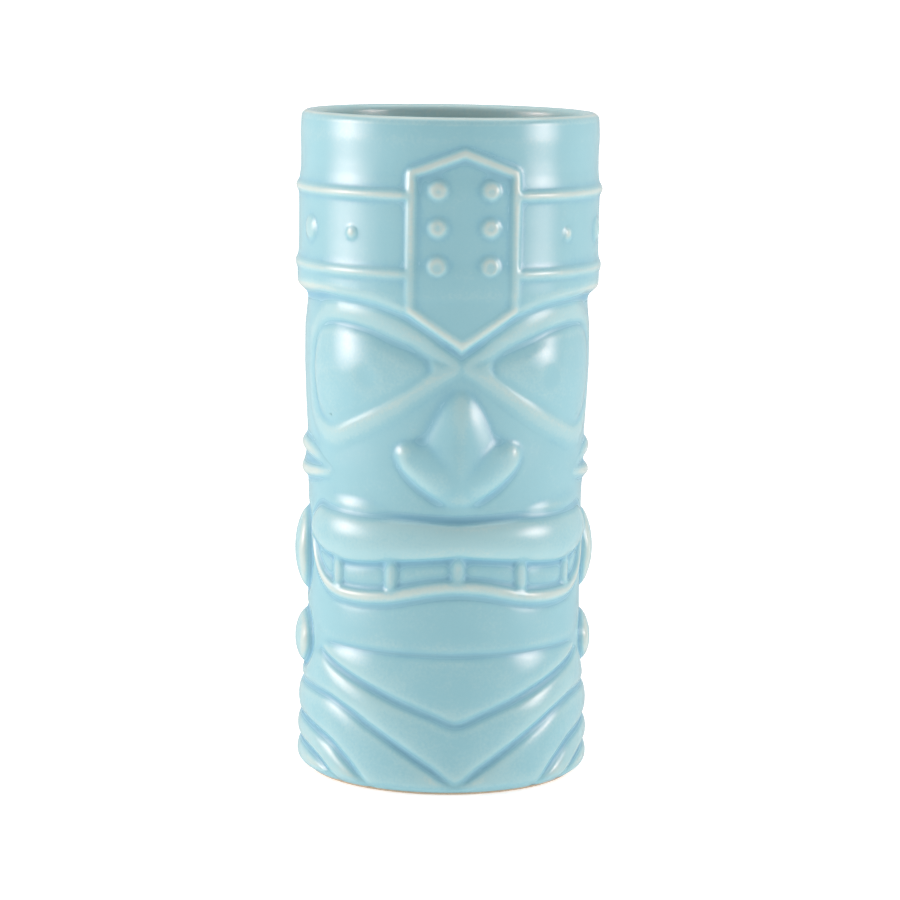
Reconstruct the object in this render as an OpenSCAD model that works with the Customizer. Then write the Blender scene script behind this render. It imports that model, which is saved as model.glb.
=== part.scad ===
// Tiki mug: a glazed stoneware tumbler with a carved face, a studded headband,
// side ears, a chevron beard and hair locks on the back.
// Millimetres. +Z is up, the face looks along -Y, and the origin is the centre
// of the foot's resting face. Angles run round the mug from the middle of the
// face, positive towards +X.

/* [Mug] */
// Height from the foot's face to the top of the rim
mug_h = 165; // [160:1:170]
// Outer radius of the plain collar under the rim
collar_r = 36.8; // [36.4:0.1:37.0]
// Inner radius of the well at the rim
well_top_r = 33.2; // [32.6:0.1:33.4]
// Inner radius of the well just above its floor
well_low_r = 30.2; // [29:0.1:30.6]
// Height of the well's floor
floor_z = 7; // [6:0.5:9]

/* [Foot] */
// Outer radius of the foot ring's resting face
foot_r = 33.2; // [32.8:0.1:33.4]
// Width of the foot ring's resting face
foot_w = 4.2; // [3:0.1:6]
// Height of the bare clay before the glaze line
foot_h = 0.8; // [0.6:0.1:1]

/* [Headband] */
// Lower edge of the headband
band_low = 121.5; // [121.3:0.1:122]
// Upper edge of the headband, where the collar starts
band_high = 147; // [146.5:0.1:147.5]
// Outer radius of the headband's field
band_r = 37.1; // [37:0.05:37.2]
// Outer radius of the rolled edge under the lower ridge
roll_r = 37.45; // [37.3:0.05:37.5]
// Height of the upper ridge's crest
upper_ridge_z = 146.5; // [146:0.1:147]
// Height of the lower ridge's crest
lower_ridge_z = 127.7; // [127:0.1:128.5]
// How far the ridges stand out of the headband
ridge_h = 0.85; // [0.6:0.05:1]
// Width of each ridge
ridge_w = 2.2; // [1.6:0.1:2.6]
// Height of the row of studs on the headband
stud_row_z = 137; // [136:0.1:138]

/* [Plaque] */
// Half angle of the plaque on the forehead
plaque_a = 21.4; // [21:0.1:22]
// Top of the plaque's peak
plaque_top = 158; // [157:0.1:159]
// Height of the plaque's two upper corners
plaque_shoulder = 153; // [152:0.1:154]
// Height of the plaque's two lower corners
plaque_hip = 118.3; // [118:0.1:119]
// Lowest point of the plaque, between the brows
plaque_tip = 109.4; // [109:0.1:110]
// Width of the plaque's raised frame
frame_w = 2.3; // [1.8:0.1:2.8]

/* [Hidden] */

glaze_colour = [0.62, 0.80, 0.84];
crest_colour = [0.80, 0.87, 0.86];
clay_colour = [0.78, 0.72, 0.62];

foot_recess = 1.3;                 // how far the glazed underside sits above the foot's face
rim_round = (collar_r - well_top_r) / 2;
frame_h = 0.9;                     // plaque frame above the headband
panel_h = 0.1;                     // plaque panel above the headband
small_stud_d = 3.4;
large_stud_d = 6.4;
plaque_stud_d = 5.2;
plaque_stud_a = 9.7;
plaque_stud_rows = [147.9, 138.9, 129.9];
small_stud_angles = [44.5, 135.5];  // mirrored left and right
large_stud_angles = [70, 110];
tooth_bar_angles = [0, 27.6, 54.8];
lock_count = 7;                    // hair locks across the back
lock_pitch = 17.5;                 // degrees between them

// Outer radius of the plain wall that the relief stands on, against height.
wall_profile = [[foot_h, 34.1], [2.2, 34.9], [24, 34.9], [30, 34.3], [70, 34.1],
    [86, 34.3], [93, 34.9], [102, 35.3], [112, 35.2], [119, 34.8], [band_high, 34.8]];

function wall_r(z) = lookup(z, wall_profile);
function mirrored(list) = concat([for (i = [len(list) - 1 : -1 : 1])
    [for (k = [0 : len(list[i]) - 1]) k == 0 ? -list[i][0] : list[i][k]]], list);
function left_of(list) = [for (i = [len(list) - 1 : -1 : 0])
    [for (k = [0 : len(list[i]) - 1]) k == 0 ? -list[i][0] : list[i][k]]];

// A smooth curve through control rows of any length, n steps between two rows.
function between(a, b, c, d, t) =
    0.5 * (2 * b + (c - a) * t + (2 * a - 5 * b + 4 * c - d) * t * t + (3 * b - a - 3 * c + d) * t * t * t);
function curve(p, n) = concat([for (i = [0 : len(p) - 2]) for (k = [0 : n - 1])
    between(p[max(i - 1, 0)], p[i], p[i + 1], p[min(i + 2, len(p) - 1)], k / n)], [p[len(p) - 1]]);
function loop_curve(p, n) = let (m = len(p)) [for (i = [0 : m - 1]) for (k = [0 : n - 1])
    between(p[(i + m - 1) % m], p[i], p[(i + 1) % m], p[(i + 2) % m], k / n)];

// A point at an angle and height, standing h out of the wall.
function on_wall(a, z, h) = let (r = wall_r(z) + h) [r * sin(a), -r * cos(a), z];

// Each section is a closed loop: a rounded crest, and a back that lies on the wall.
// across counts the steps over the crest, and behind the steps along the back.
function section_steps(across, behind) = concat(
    [for (j = [0 : across]) [sin(-90 + 180 * j / across), cos(-90 + 180 * j / across)]],
    [for (j = [behind - 1 : -1 : 1]) [-1 + 2 * j / behind, 0]]);
function pad_section(s, steps) = [for (o = steps)
    on_wall(s[0], (s[1] + s[2]) / 2 + (s[2] - s[1]) / 2 * o[0], s[3] * o[1])];
function ridge_section(s, n, steps) = [for (o = steps)
    on_wall(s[0] + o[0] * s[2] * n[0] / wall_r(s[1]) * 180 / PI, s[1] + o[0] * s[2] * n[1], s[3] * o[1])];
// Unit normal of a path on the wall, seen unrolled flat, at its row i.
function path_normal(p, i, closed) = let (m = len(p),
    a = closed ? p[(i + m - 1) % m] : p[max(i - 1, 0)],
    b = closed ? p[(i + 1) % m] : p[min(i + 1, m - 1)],
    du = (b[0] - a[0]) * PI / 180 * wall_r(p[i][1]), dz = b[1] - a[1])
    [-dz, du] / norm([du, dz]);

// Joins a row of loops into one closed solid.
module joined(loops, closed = false) {
    m = len(loops[0]);
    n = len(loops);
    spans = closed ? n : n - 1;
    sides = [for (i = [0 : spans - 1]) for (j = [0 : m - 1])
        let (i2 = (i + 1) % n, j2 = (j + 1) % m)
        each [[i * m + j, i2 * m + j, i2 * m + j2], [i * m + j, i2 * m + j2, i * m + j2]]];
    caps = closed ? [] : [[for (j = [0 : m - 1]) j], [for (j = [m - 1 : -1 : 0]) (n - 1) * m + j]];
    polyhedron(points = [for (l = loops) each l], faces = concat(sides, caps), convexity = 6);
}

// A pad whose rows are [angle, lower edge, upper edge, height out of the wall].
module pad(rows, across = 8, behind = 1) joined([for (s = rows)
    pad_section(s, section_steps(across, behind))]);

// A ridge whose rows are [angle, height on the mug, half width, height out of the wall].
module ridge(rows, across = 6, behind = 1, closed = false)
    joined([for (i = [0 : len(rows) - 1])
        ridge_section(rows[i], path_normal(rows, i, closed), section_steps(across, behind))], closed);

// A block with the plaque's outline, set in from its edges, that reaches out of the mug's front.
module plaque_block(inset = 0) {
    half_w = band_r * sin(plaque_a);
    top_slope = (plaque_top - plaque_shoulder) / half_w;
    tip_slope = (plaque_hip - plaque_tip) / half_w;
    x = half_w - inset;
    top = plaque_top - inset * norm([1, top_slope]);
    tip = plaque_tip + inset * norm([1, tip_slope]);
    shoulder = top - x * top_slope;
    hip = tip + x * tip_slope;
    rotate([90, 0, 0]) linear_extrude(60)
        polygon([[0, top], [x, shoulder], [x, hip], [0, tip], [-x, hip], [-x, shoulder]]);
}

// The plain wall as a solid, to cut the backs of the pieces that sit on it.
module wall_solid() rotate_extrude($fn = 128)
    polygon(concat([[0, foot_h]], [for (p = wall_profile) [p[1], p[0]]],
        [[collar_r, band_high], [collar_r, mug_h - rim_round], [0, mug_h - rim_round]]));

// A round stud standing on the headband at an angle and height.
module stud(a, z, d, h) {
    ball_r = (d * d / 4 + h * h) / (2 * h);
    rotate([0, 0, a]) translate([0, ball_r - h - band_r, z]) sphere(ball_r, $fn = 96);
}
module studs_on_band(angles, d, h) difference() {
    for (a = angles) for (side = [-1, 1]) stud(side * a, stud_row_z, d, h);
    cylinder(r = band_r, h = mug_h, $fn = 360);
}

// One rounded ridge round the headband, open where the plaque sits.
module band_ridge(z) difference() {
    rotate_extrude($fn = 128) intersection() {
        translate([band_r, z]) scale([1, ridge_w / 2 / ridge_h]) circle(ridge_h, $fn = 40);
        translate([band_r, z - ridge_w]) square([ridge_h + 1, 2 * ridge_w]);
    }
    plaque_block();
    band_solid();
}

// The headband before the plaque is let into it: a flat field with a rolled lower edge.
module band_solid() rotate_extrude($fn = 128) polygon([[34.8, band_low], [36.2, band_low],
    [roll_r - 0.4, band_low + 1.1], [roll_r, band_low + 2.6], [roll_r, band_low + 4.2],
    [band_r, band_low + 6.5], [band_r, band_high], [34.8, band_high]]);

// ---- Vessel and foot ----

module vessel() color(glaze_colour) rotate_extrude($fn = 128) polygon(concat(
    [[0, foot_recess], [foot_r - foot_w, foot_recess], [foot_r - foot_w, foot_h]],
    [for (p = wall_profile) [p[1], p[0]]],
    [[collar_r, band_high]],
    [for (f = [0 : 15 : 180]) [collar_r - rim_round + rim_round * cos(f),
        mug_h - rim_round + rim_round * sin(f)]],
    [[32.3, 125], [31.4, 110], [well_low_r, floor_z + 8]],
    [for (f = [15 : 15 : 90]) [well_low_r - 8 + 8 * cos(f), floor_z + 8 - 8 * sin(f)]],
    [[0, floor_z]]));

module foot_ring() color(clay_colour) rotate_extrude($fn = 128)
    polygon([[foot_r - foot_w, 0], [foot_r, 0], [wall_r(foot_h), foot_h], [foot_r - foot_w, foot_h]]);

// ---- Headband ----

module headband() color(glaze_colour) difference() {
    band_solid();
    plaque_block();
}
module headband_upper_ridge() color(crest_colour) difference() {
    band_ridge(upper_ridge_z);
    wall_solid();
}
module headband_lower_ridge() color(crest_colour) band_ridge(lower_ridge_z);
module headband_small_studs() color(crest_colour) studs_on_band(small_stud_angles, small_stud_d, 0.6);
module headband_large_studs() color(crest_colour) studs_on_band(large_stud_angles, large_stud_d, 0.9);

// ---- Plaque ----

module plaque_panel() color(glaze_colour) difference() {
    intersection() {
        plaque_block();
        cylinder(r = band_r + panel_h, h = mug_h, $fn = 128);
    }
    wall_solid();
}
module plaque_frame() color(crest_colour) difference() {
    intersection() {
        plaque_block();
        cylinder(r = band_r + frame_h, h = mug_h, $fn = 128);
    }
    plaque_block(frame_w);
    cylinder(r = band_r + panel_h, h = mug_h, $fn = 128);
}
module plaque_studs() color(crest_colour) difference() {
    for (z = plaque_stud_rows) for (side = [-1, 1]) stud(side * plaque_stud_a, z, plaque_stud_d, 1.0);
    cylinder(r = band_r + panel_h, h = mug_h, $fn = 360);
}

// ---- Face ----

// Brow: from the plaque's side round to the temple, hanging under the headband.
brow_rows = curve([[22.2, 117.9, band_low, 2.2], [28, 118.2, band_low, 2.2], [38, 119.2, band_low, 2.1],
    [52, 120, band_low, 1.9], [64, 120.3, band_low, 1.5], [76, 120.6, band_low, 0.5]], 4);
module brow_left() color(crest_colour) pad(left_of(brow_rows), 4);
module brow_right() color(crest_colour) pad(brow_rows, 4);

eye_frame_rows = loop_curve([[4.6, 105.2, 1.3, 0.9], [9, 108.2, 1.6, 1.1], [17, 111.4, 1.7, 1.2],
    [28, 114.2, 1.7, 1.2], [40, 116, 1.6, 1.2], [52, 116.6, 1.5, 1.1], [63, 115.4, 1.4, 1],
    [71, 111.6, 1.3, 0.9], [74.5, 105, 1.2, 0.8], [74.5, 97, 1.2, 0.8], [70, 89.6, 1.3, 0.9],
    [60, 86.8, 1.5, 1.1], [48, 88, 1.6, 1.2], [36, 91.2, 1.7, 1.2], [24, 94.9, 1.7, 1.2],
    [13, 99.1, 1.6, 1.1], [6.5, 102.8, 1.4, 1]], 3);
module eye_frame_left() color(crest_colour) ridge(left_of(eye_frame_rows), closed = true);
module eye_frame_right() color(crest_colour) ridge(eye_frame_rows, closed = true);

eye_rows = curve([[13.4, 104.9, 105.9, 0.2], [16, 102.6, 108.2, 0.8], [24, 98.8, 110.9, 1.5],
    [36, 94.4, 113, 1.8], [48, 91.1, 113.9, 1.7], [58, 89.7, 113.1, 1.3], [65, 91.2, 110.8, 0.8],
    [68.8, 95.4, 107, 0.5], [70, 100.4, 102.2, 0.2]], 2);
module eye_left() color(glaze_colour) pad(left_of(eye_rows), behind = 3);
module eye_right() color(glaze_colour) pad(eye_rows, behind = 3);

nose_half = curve([[0, 71.2, 97, 3.3], [5, 71.9, 93.3, 3.1], [9.5, 73.6, 88.6, 2.7], [13, 75.1, 85.8, 2.3],
    [16.5, 76.7, 85.6, 2.1], [19.5, 78.6, 85.8, 1.8], [21.6, 80.4, 84.8, 1.2], [22.6, 82, 83.2, 0.3]], 2);
module nose() color(glaze_colour) pad(mirrored(nose_half));

upper_lip_half = curve([[0, 59.1, 67.5, 2.4], [12, 58.6, 67.8, 2.4], [24, 57.9, 68.4, 2.4], [37, 56.9, 69.1, 2.4],
    [50, 56.4, 69.3, 2.3], [60, 57.4, 68.4, 2], [67, 59.3, 66.6, 1.5], [71.5, 61.4, 64.4, 0.6]], 2);
module upper_lip() color(glaze_colour) pad(mirrored(upper_lip_half));

lower_lip_half = curve([[0, 51.6, 1.25, 1.5], [10.5, 51.1, 1.25, 1.5], [21, 49.7, 1.25, 1.6], [31, 48.6, 1.3, 1.7],
    [45, 48.25, 1.3, 1.7], [57, 48.8, 1.2, 1.6], [65, 50.7, 1.1, 1.4], [70.5, 54, 1, 1.2],
    [74, 58.2, 0.9, 0.9], [75.6, 62.4, 0.5, 0.3]], 3);
module lower_lip() color(crest_colour) ridge(mirrored(lower_lip_half));

tooth_rows = [
    [[2.4, 54.2, 57.6, 0.2], [3.8, 53.3, 58.3, 0.8], [9, 52.9, 58.2, 0.9], [14, 52.3, 57.9, 0.9],
        [19, 51.6, 57.6, 0.9], [24, 50.9, 57.1, 0.8], [25.4, 51.8, 56.2, 0.2]],
    [[29.8, 51.6, 56, 0.2], [31.2, 50.5, 56.8, 0.8], [36, 50.1, 56.5, 0.9], [41, 49.9, 56.3, 0.9],
        [46, 49.9, 56.1, 0.9], [51.2, 50.1, 56, 0.8], [52.6, 51, 55.2, 0.2]],
    [[57, 51.4, 55.8, 0.2], [58.4, 50.6, 56.7, 0.7], [62, 51.2, 57.2, 0.8], [66, 53, 58.4, 0.7],
        [69.6, 56.4, 60, 0.2]]];
module teeth() color(glaze_colour) for (rows = tooth_rows) {
    pad(rows, 6);
    pad(left_of(rows), 6);
}
tooth_bar_low = [53, 50.3, 50.2];
tooth_bar_high = [59, 57.6, 56.8];
module tooth_bars() color(crest_colour) for (i = [0 : 2]) {
    a = tooth_bar_angles[i];
    rows = [for (t = [0 : 0.25 : 1]) [a, tooth_bar_low[i] + t * (tooth_bar_high[i] - tooth_bar_low[i]),
        0.85 * (1 - 0.35 * abs(2 * t - 1)), 1.1]];
    ridge(rows);
    if (i > 0) ridge(left_of(rows));
}

// ---- Ears ----

ear_rows = loop_curve([[61, 79.2, 0.6, 0.5], [70, 81.6, 1, 1], [80, 83.8, 1.2, 1.2], [92, 84.3, 1.3, 1.2],
    [102, 83.2, 1.3, 1.2], [107, 80, 1.3, 1.2], [102, 77, 1.3, 1.3], [90, 76.2, 1.3, 1.4],
    [78, 76.8, 1.2, 1.3], [68, 78, 0.9, 1]], 3);
module ear_left() color(crest_colour) ridge(left_of(ear_rows), closed = true);
module ear_right() color(crest_colour) ridge(ear_rows, closed = true);

// A tall oval boss at the side, from its middle angle and height.
function oval_rows(a, z, half_a, half_z, h) = [for (f = [-84 : 14 : 84])
    [a + half_a * sin(f), z - half_z * cos(f), z + half_z * cos(f), h * cos(f)]];
lobe_rows = oval_rows(91, 56, 11.5, 10.3, 3.1);
pendant_rows = oval_rows(90, 34.3, 14, 7.2, 2.7);
module ear_lobe_left() color(glaze_colour) pad(left_of(lobe_rows));
module ear_lobe_right() color(glaze_colour) pad(lobe_rows);
module ear_pendant_left() color(glaze_colour) pad(left_of(pendant_rows));
module ear_pendant_right() color(glaze_colour) pad(pendant_rows);

// ---- Chin and beard ----

chin_half = curve([[0, 35.2, 47.6, 1.3], [14, 35.2, 46.9, 1.3], [31, 35.2, 45, 1.3], [45, 35.3, 44.6, 1.1],
    [57, 35.4, 45, 0.8], [66, 36.2, 45.2, 0.5], [72, 38.5, 43.6, 0.2]], 3);
module chin() color(glaze_colour) pad(mirrored(chin_half), 6);

bib_half = curve([[0, 18.1, 34.4, 1.7], [10, 20.4, 34.4, 1.7], [21.5, 23, 34.4, 1.7], [40, 27.2, 34.5, 1.5],
    [56, 30.7, 34.5, 0.9], [64, 32.6, 34.1, 0.3]], 3);
module beard_bib() color(glaze_colour) pad(mirrored(bib_half), 6);

upper_strand_half = curve([[0, 3.4, 17.3, 1.2], [10, 7.3, 19.5, 1.2], [21.5, 11.8, 22.1, 1.2], [36, 17, 25.7, 1.3],
    [46, 20, 27.8, 1.4], [57, 22.1, 30.1, 1.5], [66, 22.9, 31.6, 1.5], [73, 23.1, 29.8, 1.3],
    [80, 23.1, 26.6, 1.1], [95, 23.2, 26.2, 0.9], [108, 24, 25.6, 0.3]], 3);
module beard_strand_upper() color(glaze_colour) pad(mirrored(upper_strand_half), 6);

middle_strand_half = curve([[0, 1.3, 2.4, 0.3], [10, 1.3, 6.4, 0.8], [20, 1.3, 10.4, 1.1], [30, 1.4, 14.2, 1.2],
    [37, 2.6, 16.4, 1.3], [45, 6.6, 19, 1.3], [55, 10.8, 21.1, 1.3], [65, 12.7, 22, 1.3],
    [76, 14, 22.3, 1.3], [92, 14.5, 22.3, 1.2], [105, 15.4, 21.8, 0.9], [113, 17.2, 20.2, 0.3]], 3);
module beard_strand_middle() color(glaze_colour) pad(mirrored(middle_strand_half), 6);

lower_strand_rows = curve([[37.5, 1.3, 1.9, 0.3], [44, 1.4, 5.3, 1.1], [50, 1.6, 7.9, 1.4], [56, 3, 10.1, 1.5],
    [66, 6.3, 12.2, 1.6], [78, 7.7, 13.5, 1.6], [92, 8.1, 14, 1.5], [105, 9, 14.1, 1], [113, 10.6, 12.8, 0.3]], 3);
module beard_strand_lower() color(glaze_colour) {
    pad(lower_strand_rows, 6);
    pad(left_of(lower_strand_rows), 6);
}

bottom_strand_rows = curve([[53.5, 1.3, 1.8, 0.3], [60, 1.3, 4, 1], [68, 1.3, 5.8, 1.4], [80, 1.3, 7.2, 1.5],
    [94, 1.3, 7.6, 1.4], [106, 1.6, 7.6, 1], [113, 3, 6.6, 0.3]], 3);
module beard_strand_bottom() color(glaze_colour) {
    pad(bottom_strand_rows, 6);
    pad(left_of(bottom_strand_rows), 6);
}

// ---- Hair ----

// Wavy locks hang side by side down the back; the outer ones end higher.
lock_top = band_low - 0.6;
lock_steps = 20;
function lock_rows(i) = let (k = i - (lock_count - 1) / 2, low = 5 + 3.2 * abs(k))
    [for (j = [0 : lock_steps])
        let (t = j / lock_steps, taper = min(1, sqrt(7 * t + 0.01)))
        [180 + k * lock_pitch + 1.5 * sin(t * 720), low + t * (lock_top - low), 5 * taper,
            1.3 * taper]];
module hair_locks() color(glaze_colour) for (i = [0 : lock_count - 1]) ridge(lock_rows(i), behind = 4);

vessel();
foot_ring();
headband();
headband_upper_ridge();
headband_lower_ridge();
headband_small_studs();
headband_large_studs();
plaque_panel();
plaque_frame();
plaque_studs();
brow_left();
brow_right();
eye_frame_left();
eye_frame_right();
eye_left();
eye_right();
nose();
upper_lip();
lower_lip();
teeth();
tooth_bars();
ear_left();
ear_right();
ear_lobe_left();
ear_lobe_right();
ear_pendant_left();
ear_pendant_right();
chin();
beard_bib();
beard_strand_upper();
beard_strand_middle();
beard_strand_lower();
beard_strand_bottom();
hair_locks();
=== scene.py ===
# %% [markdown]
# # A glazed tiki mug
#
# A tiki mug is cast in a plaster mould, so its headband, face and beard are one clay surface, and the
# glaze that melts over it softens every edge, thins to cream on the crests and pools darker in the
# grooves. That look comes from the surface, so this lesson draws the whole relief once, as a sheet of
# heights wrapped round the mug. Every piece is then a patch of mesh laid on that same surface, which is
# why the pieces meet without a visible seam. Lengths in the lesson are in millimetres and angles in
# degrees round the mug from the middle of the face; meshes are made in metres.

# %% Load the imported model
import math

import bmesh
import bpy
import numpy as np
from mathutils import Matrix, Vector


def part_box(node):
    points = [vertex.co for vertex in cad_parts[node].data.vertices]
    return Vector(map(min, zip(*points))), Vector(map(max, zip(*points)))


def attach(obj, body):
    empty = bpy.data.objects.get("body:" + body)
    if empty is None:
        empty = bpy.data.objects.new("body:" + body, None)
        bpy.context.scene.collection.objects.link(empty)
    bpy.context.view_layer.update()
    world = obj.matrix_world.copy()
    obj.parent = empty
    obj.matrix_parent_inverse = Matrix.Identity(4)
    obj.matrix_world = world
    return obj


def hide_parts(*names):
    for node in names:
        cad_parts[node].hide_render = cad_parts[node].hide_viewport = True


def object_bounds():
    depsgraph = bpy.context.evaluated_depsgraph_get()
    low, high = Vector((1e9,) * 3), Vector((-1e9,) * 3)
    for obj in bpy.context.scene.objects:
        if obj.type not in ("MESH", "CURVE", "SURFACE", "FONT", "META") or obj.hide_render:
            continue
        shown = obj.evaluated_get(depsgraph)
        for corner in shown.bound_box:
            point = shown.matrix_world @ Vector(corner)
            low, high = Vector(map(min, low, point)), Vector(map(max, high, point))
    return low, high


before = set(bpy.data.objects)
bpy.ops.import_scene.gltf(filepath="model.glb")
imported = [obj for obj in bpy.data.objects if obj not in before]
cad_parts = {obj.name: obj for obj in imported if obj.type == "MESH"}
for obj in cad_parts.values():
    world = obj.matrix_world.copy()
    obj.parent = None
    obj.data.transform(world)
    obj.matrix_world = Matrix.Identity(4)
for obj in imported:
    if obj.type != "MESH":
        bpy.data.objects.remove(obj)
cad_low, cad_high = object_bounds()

MM = 0.001
mug_h = cad_high.z / MM
print("nodes:", len(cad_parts), " mug height:", round(mug_h, 2), "mm")

# %% [markdown]
# ## The relief sheet
#
# The sheet is the mug's outside unrolled: one column for each step round the mug and one row for each
# step up. A sheet of numbers is the right tool here because features can be added, cut away and blurred
# together, which is what clay and glaze do, before a single face exists.

# %% An empty sheet
cell = 0.2
unroll_r = 36.0
columns = int(round(2 * math.pi * unroll_r / cell))
rows_up = int(round(mug_h / cell)) + 1
column_angle = (np.arange(columns) + 0.5) / columns * 360 - 180
row_z = np.arange(rows_up) * cell
angle_of, z_of = np.meshgrid(column_angle, row_z)
relief = np.zeros((rows_up, columns))
mm_per_degree = unroll_r * math.pi / 180
print("sheet:", rows_up, "rows by", columns, "columns")

# %% Smooth curves through a few rows of numbers
def curve(rows, steps=5, closed=False):
    """A smooth line through rows of any length: each row is passed through, with steps between two."""
    p = np.array(rows, float)
    count = len(p)
    ahead = (lambda i: i % count) if closed else (lambda i: min(max(i, 0), count - 1))
    out = []
    for i in range(count if closed else count - 1):
        a, b, c, d = p[ahead(i - 1)], p[ahead(i)], p[ahead(i + 1)], p[ahead(i + 2)]
        for t in np.arange(steps) / steps:
            out.append(0.5 * (2 * b + (c - a) * t + (2 * a - 5 * b + 4 * c - d) * t**2
                              + (3 * b - a - 3 * c + d) * t**3))
    return np.array(out if closed else out + [p[-1]])


def left_of(rows):
    """The same rows on the mug's other side, still in order round the mug."""
    flipped = np.array(rows, float)[::-1].copy()
    flipped[:, 0] *= -1
    return flipped


def both_sides(rows):
    """A half that starts at the middle of the face, made whole."""
    return np.concatenate([left_of(rows)[:-1], np.array(rows, float)])


print("a curve through 3 rows has", len(curve([(0, 0), (1, 1), (2, 0)])), "points")

# %% [markdown]
# Clay and glaze have no sharp corners. Each edge could be rounded with a bevel, but one blur of the
# whole sheet rounds them all, and the places where they meet as well. Points between the cells are
# blended from the four cells round them, so a mesh can be finer or coarser than the sheet.

# %% Blur and sample the sheet
def soften(sheet, radius):
    """A Gaussian blur of that radius. The sheet closes on itself round the mug, but not up and down."""
    margin = int(4 * radius / cell) + 1
    tall = np.pad(sheet, ((margin, margin), (0, 0)), mode="edge")
    up = np.fft.fftfreq(tall.shape[0])[:, None]
    across = np.fft.rfftfreq(columns)[None, :]
    fade = np.exp(-2 * (math.pi * radius / cell) ** 2 * (up**2 + across**2))
    return np.fft.irfft2(np.fft.rfft2(tall) * fade, tall.shape)[margin:-margin]


def sample(sheet, angle, z):
    """The sheet's value at any angles and heights, blended between its four nearest cells."""
    col = (np.asarray(angle) + 180) % 360 / 360 * columns - 0.5
    row = np.clip(np.asarray(z) / cell, 0, rows_up - 1.001)
    c0, r0 = np.floor(col).astype(int), np.floor(row).astype(int)
    fc, fr = col - c0, row - r0
    left, right = c0 % columns, (c0 + 1) % columns
    low = sheet[r0, left] * (1 - fc) + sheet[r0, right] * fc
    high = sheet[r0 + 1, left] * (1 - fc) + sheet[r0 + 1, right] * fc
    return low * (1 - fr) + high * fr


def ease(t):
    """0 below 0, 1 above 1, and a smooth S between."""
    t = np.clip(t, 0, 1)
    return t * t * (3 - 2 * t)


print("the empty sheet reads", float(sample(relief, 0, 80)), "mm in the middle of the face")

# %% [markdown]
# Three kinds of mark draw everything. A pad lies between a lower and an upper edge. A ridge follows a
# line, with a round back or with two flanks like a tent. A dome is a round stud. Each gives back two
# sheets: how high it stands, and how far inside its outline each cell is.

# %% The three marks
def pad_mark(rows, fullness=2.0, crest=0.5, edge=0.8, curved=True):
    """A pad, from rows of [angle, lower edge, upper edge, height].

    Fullness squares its section, and crest says how far up the section it peaks. An edge of 0.5 ends as
    steeply as a half round, and 1 as gently as a parabola."""
    rows = curve(rows) if curved else np.array(rows, float)
    turned = (angle_of - rows[0, 0]) % 360 + rows[0, 0]
    low, high, lift = (np.interp(turned, rows[:, 0], rows[:, k]) for k in (1, 2, 3))
    t = (z_of - low) / (high - low)
    off = np.where(t < crest, (crest - t) / crest, (t - crest) / (1 - crest))
    on = (turned <= rows[-1, 0]) & (off < 1)
    shape = np.clip(1 - np.abs(off) ** fullness, 0, 1) ** edge
    ends = np.minimum(turned - rows[0, 0], rows[-1, 0] - turned) * mm_per_degree
    inside = np.minimum(np.minimum(z_of - low, high - z_of), ends)
    return np.where(on, lift * shape, 0), np.where(on, inside, -1)


def ridge_mark(rows, closed=False, power=1.0, curved=True, tent=2.0):
    """A ridge, from rows of [angle, height, half width, lift] along its line.

    A power of 0.5 is a half round and 2 a soft bell. A tent of 2 has a round back, and nearer 1 its two
    flanks are flat and meet in an edge."""
    rows = curve(rows, closed=closed) if curved else np.array(rows, float)
    if closed:
        rows = np.concatenate([rows, rows[:1]])
    height, inside = np.zeros_like(relief), np.full_like(relief, -1)
    for a, b in zip(rows, rows[1:]):
        reach = max(a[2], b[2])
        first = max(int((min(a[1], b[1]) - reach) / cell), 0)
        last = min(int((max(a[1], b[1]) + reach) / cell) + 2, rows_up)
        across = ((angle_of[first:last] - a[0] + 180) % 360 - 180) * mm_per_degree
        up = z_of[first:last] - a[1]
        run = np.array([(b[0] - a[0]) * mm_per_degree, b[1] - a[1]])
        t = np.clip((across * run[0] + up * run[1]) / max(run @ run, 1e-9), 0, 1)
        off = np.hypot(across - t * run[0], up - t * run[1])
        half, lift = a[2] + t * (b[2] - a[2]), a[3] + t * (b[3] - a[3])
        shape = np.clip(1 - (off / half) ** tent, 0, 1) ** power
        height[first:last] = np.maximum(height[first:last], lift * shape)
        inside[first:last] = np.maximum(inside[first:last], half - off)
    return height, inside


def dome_mark(angle, z, radius, lift):
    """A round stud."""
    across = ((angle_of - angle + 180) % 360 - 180) * mm_per_degree
    off = np.hypot(across, z_of - z)
    return lift * np.clip(1 - (off / radius) ** 2, 0, 1) ** 0.8, radius - off


print("a stud of 1 mm stands", round(float(dome_mark(0, 80, 3.0, 1.0)[0].max()), 2), "mm high")

# %% [markdown]
# Each carved feature is raised into the relief and noted down as a piece to be made later. A piece on
# layer 2 lies on top of one on layer 1, as the headband's ridges lie on the headband, so each layer
# keeps a sheet of what covers it.

# %% Note down the pieces
patches = []
covered_by = {1: np.full_like(relief, -1.0), 2: np.full_like(relief, -1.0)}


def raise_clay(height, inside, blend=0.5):
    """Lifts the relief to a mark's height, over a short blend inside the mark's outline."""
    share = ease(inside / blend) * (height > 0)
    np.add(relief, share * (np.maximum(relief, height) - relief), out=relief)


def note_piece(name, slot, layer, kind, rows, inside, curved=True, closed=False, node=None):
    """Puts a mark's outline on the list of patches to build."""
    for below in range(1, layer + 1):
        np.maximum(covered_by[below], inside, out=covered_by[below])
    patches.append(dict(name="glazed_" + name, node=node or name, slot=slot, layer=layer, kind=kind,
                        rows=rows, curved=curved, closed=closed))


def add(name, slot, layer, kind, rows, mark, curved=True, closed=False, node=None):
    """Adds a mark to the relief and notes its outline."""
    raise_clay(*mark)
    note_piece(name, slot, layer, kind, rows, mark[1], curved, closed, node)


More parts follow.
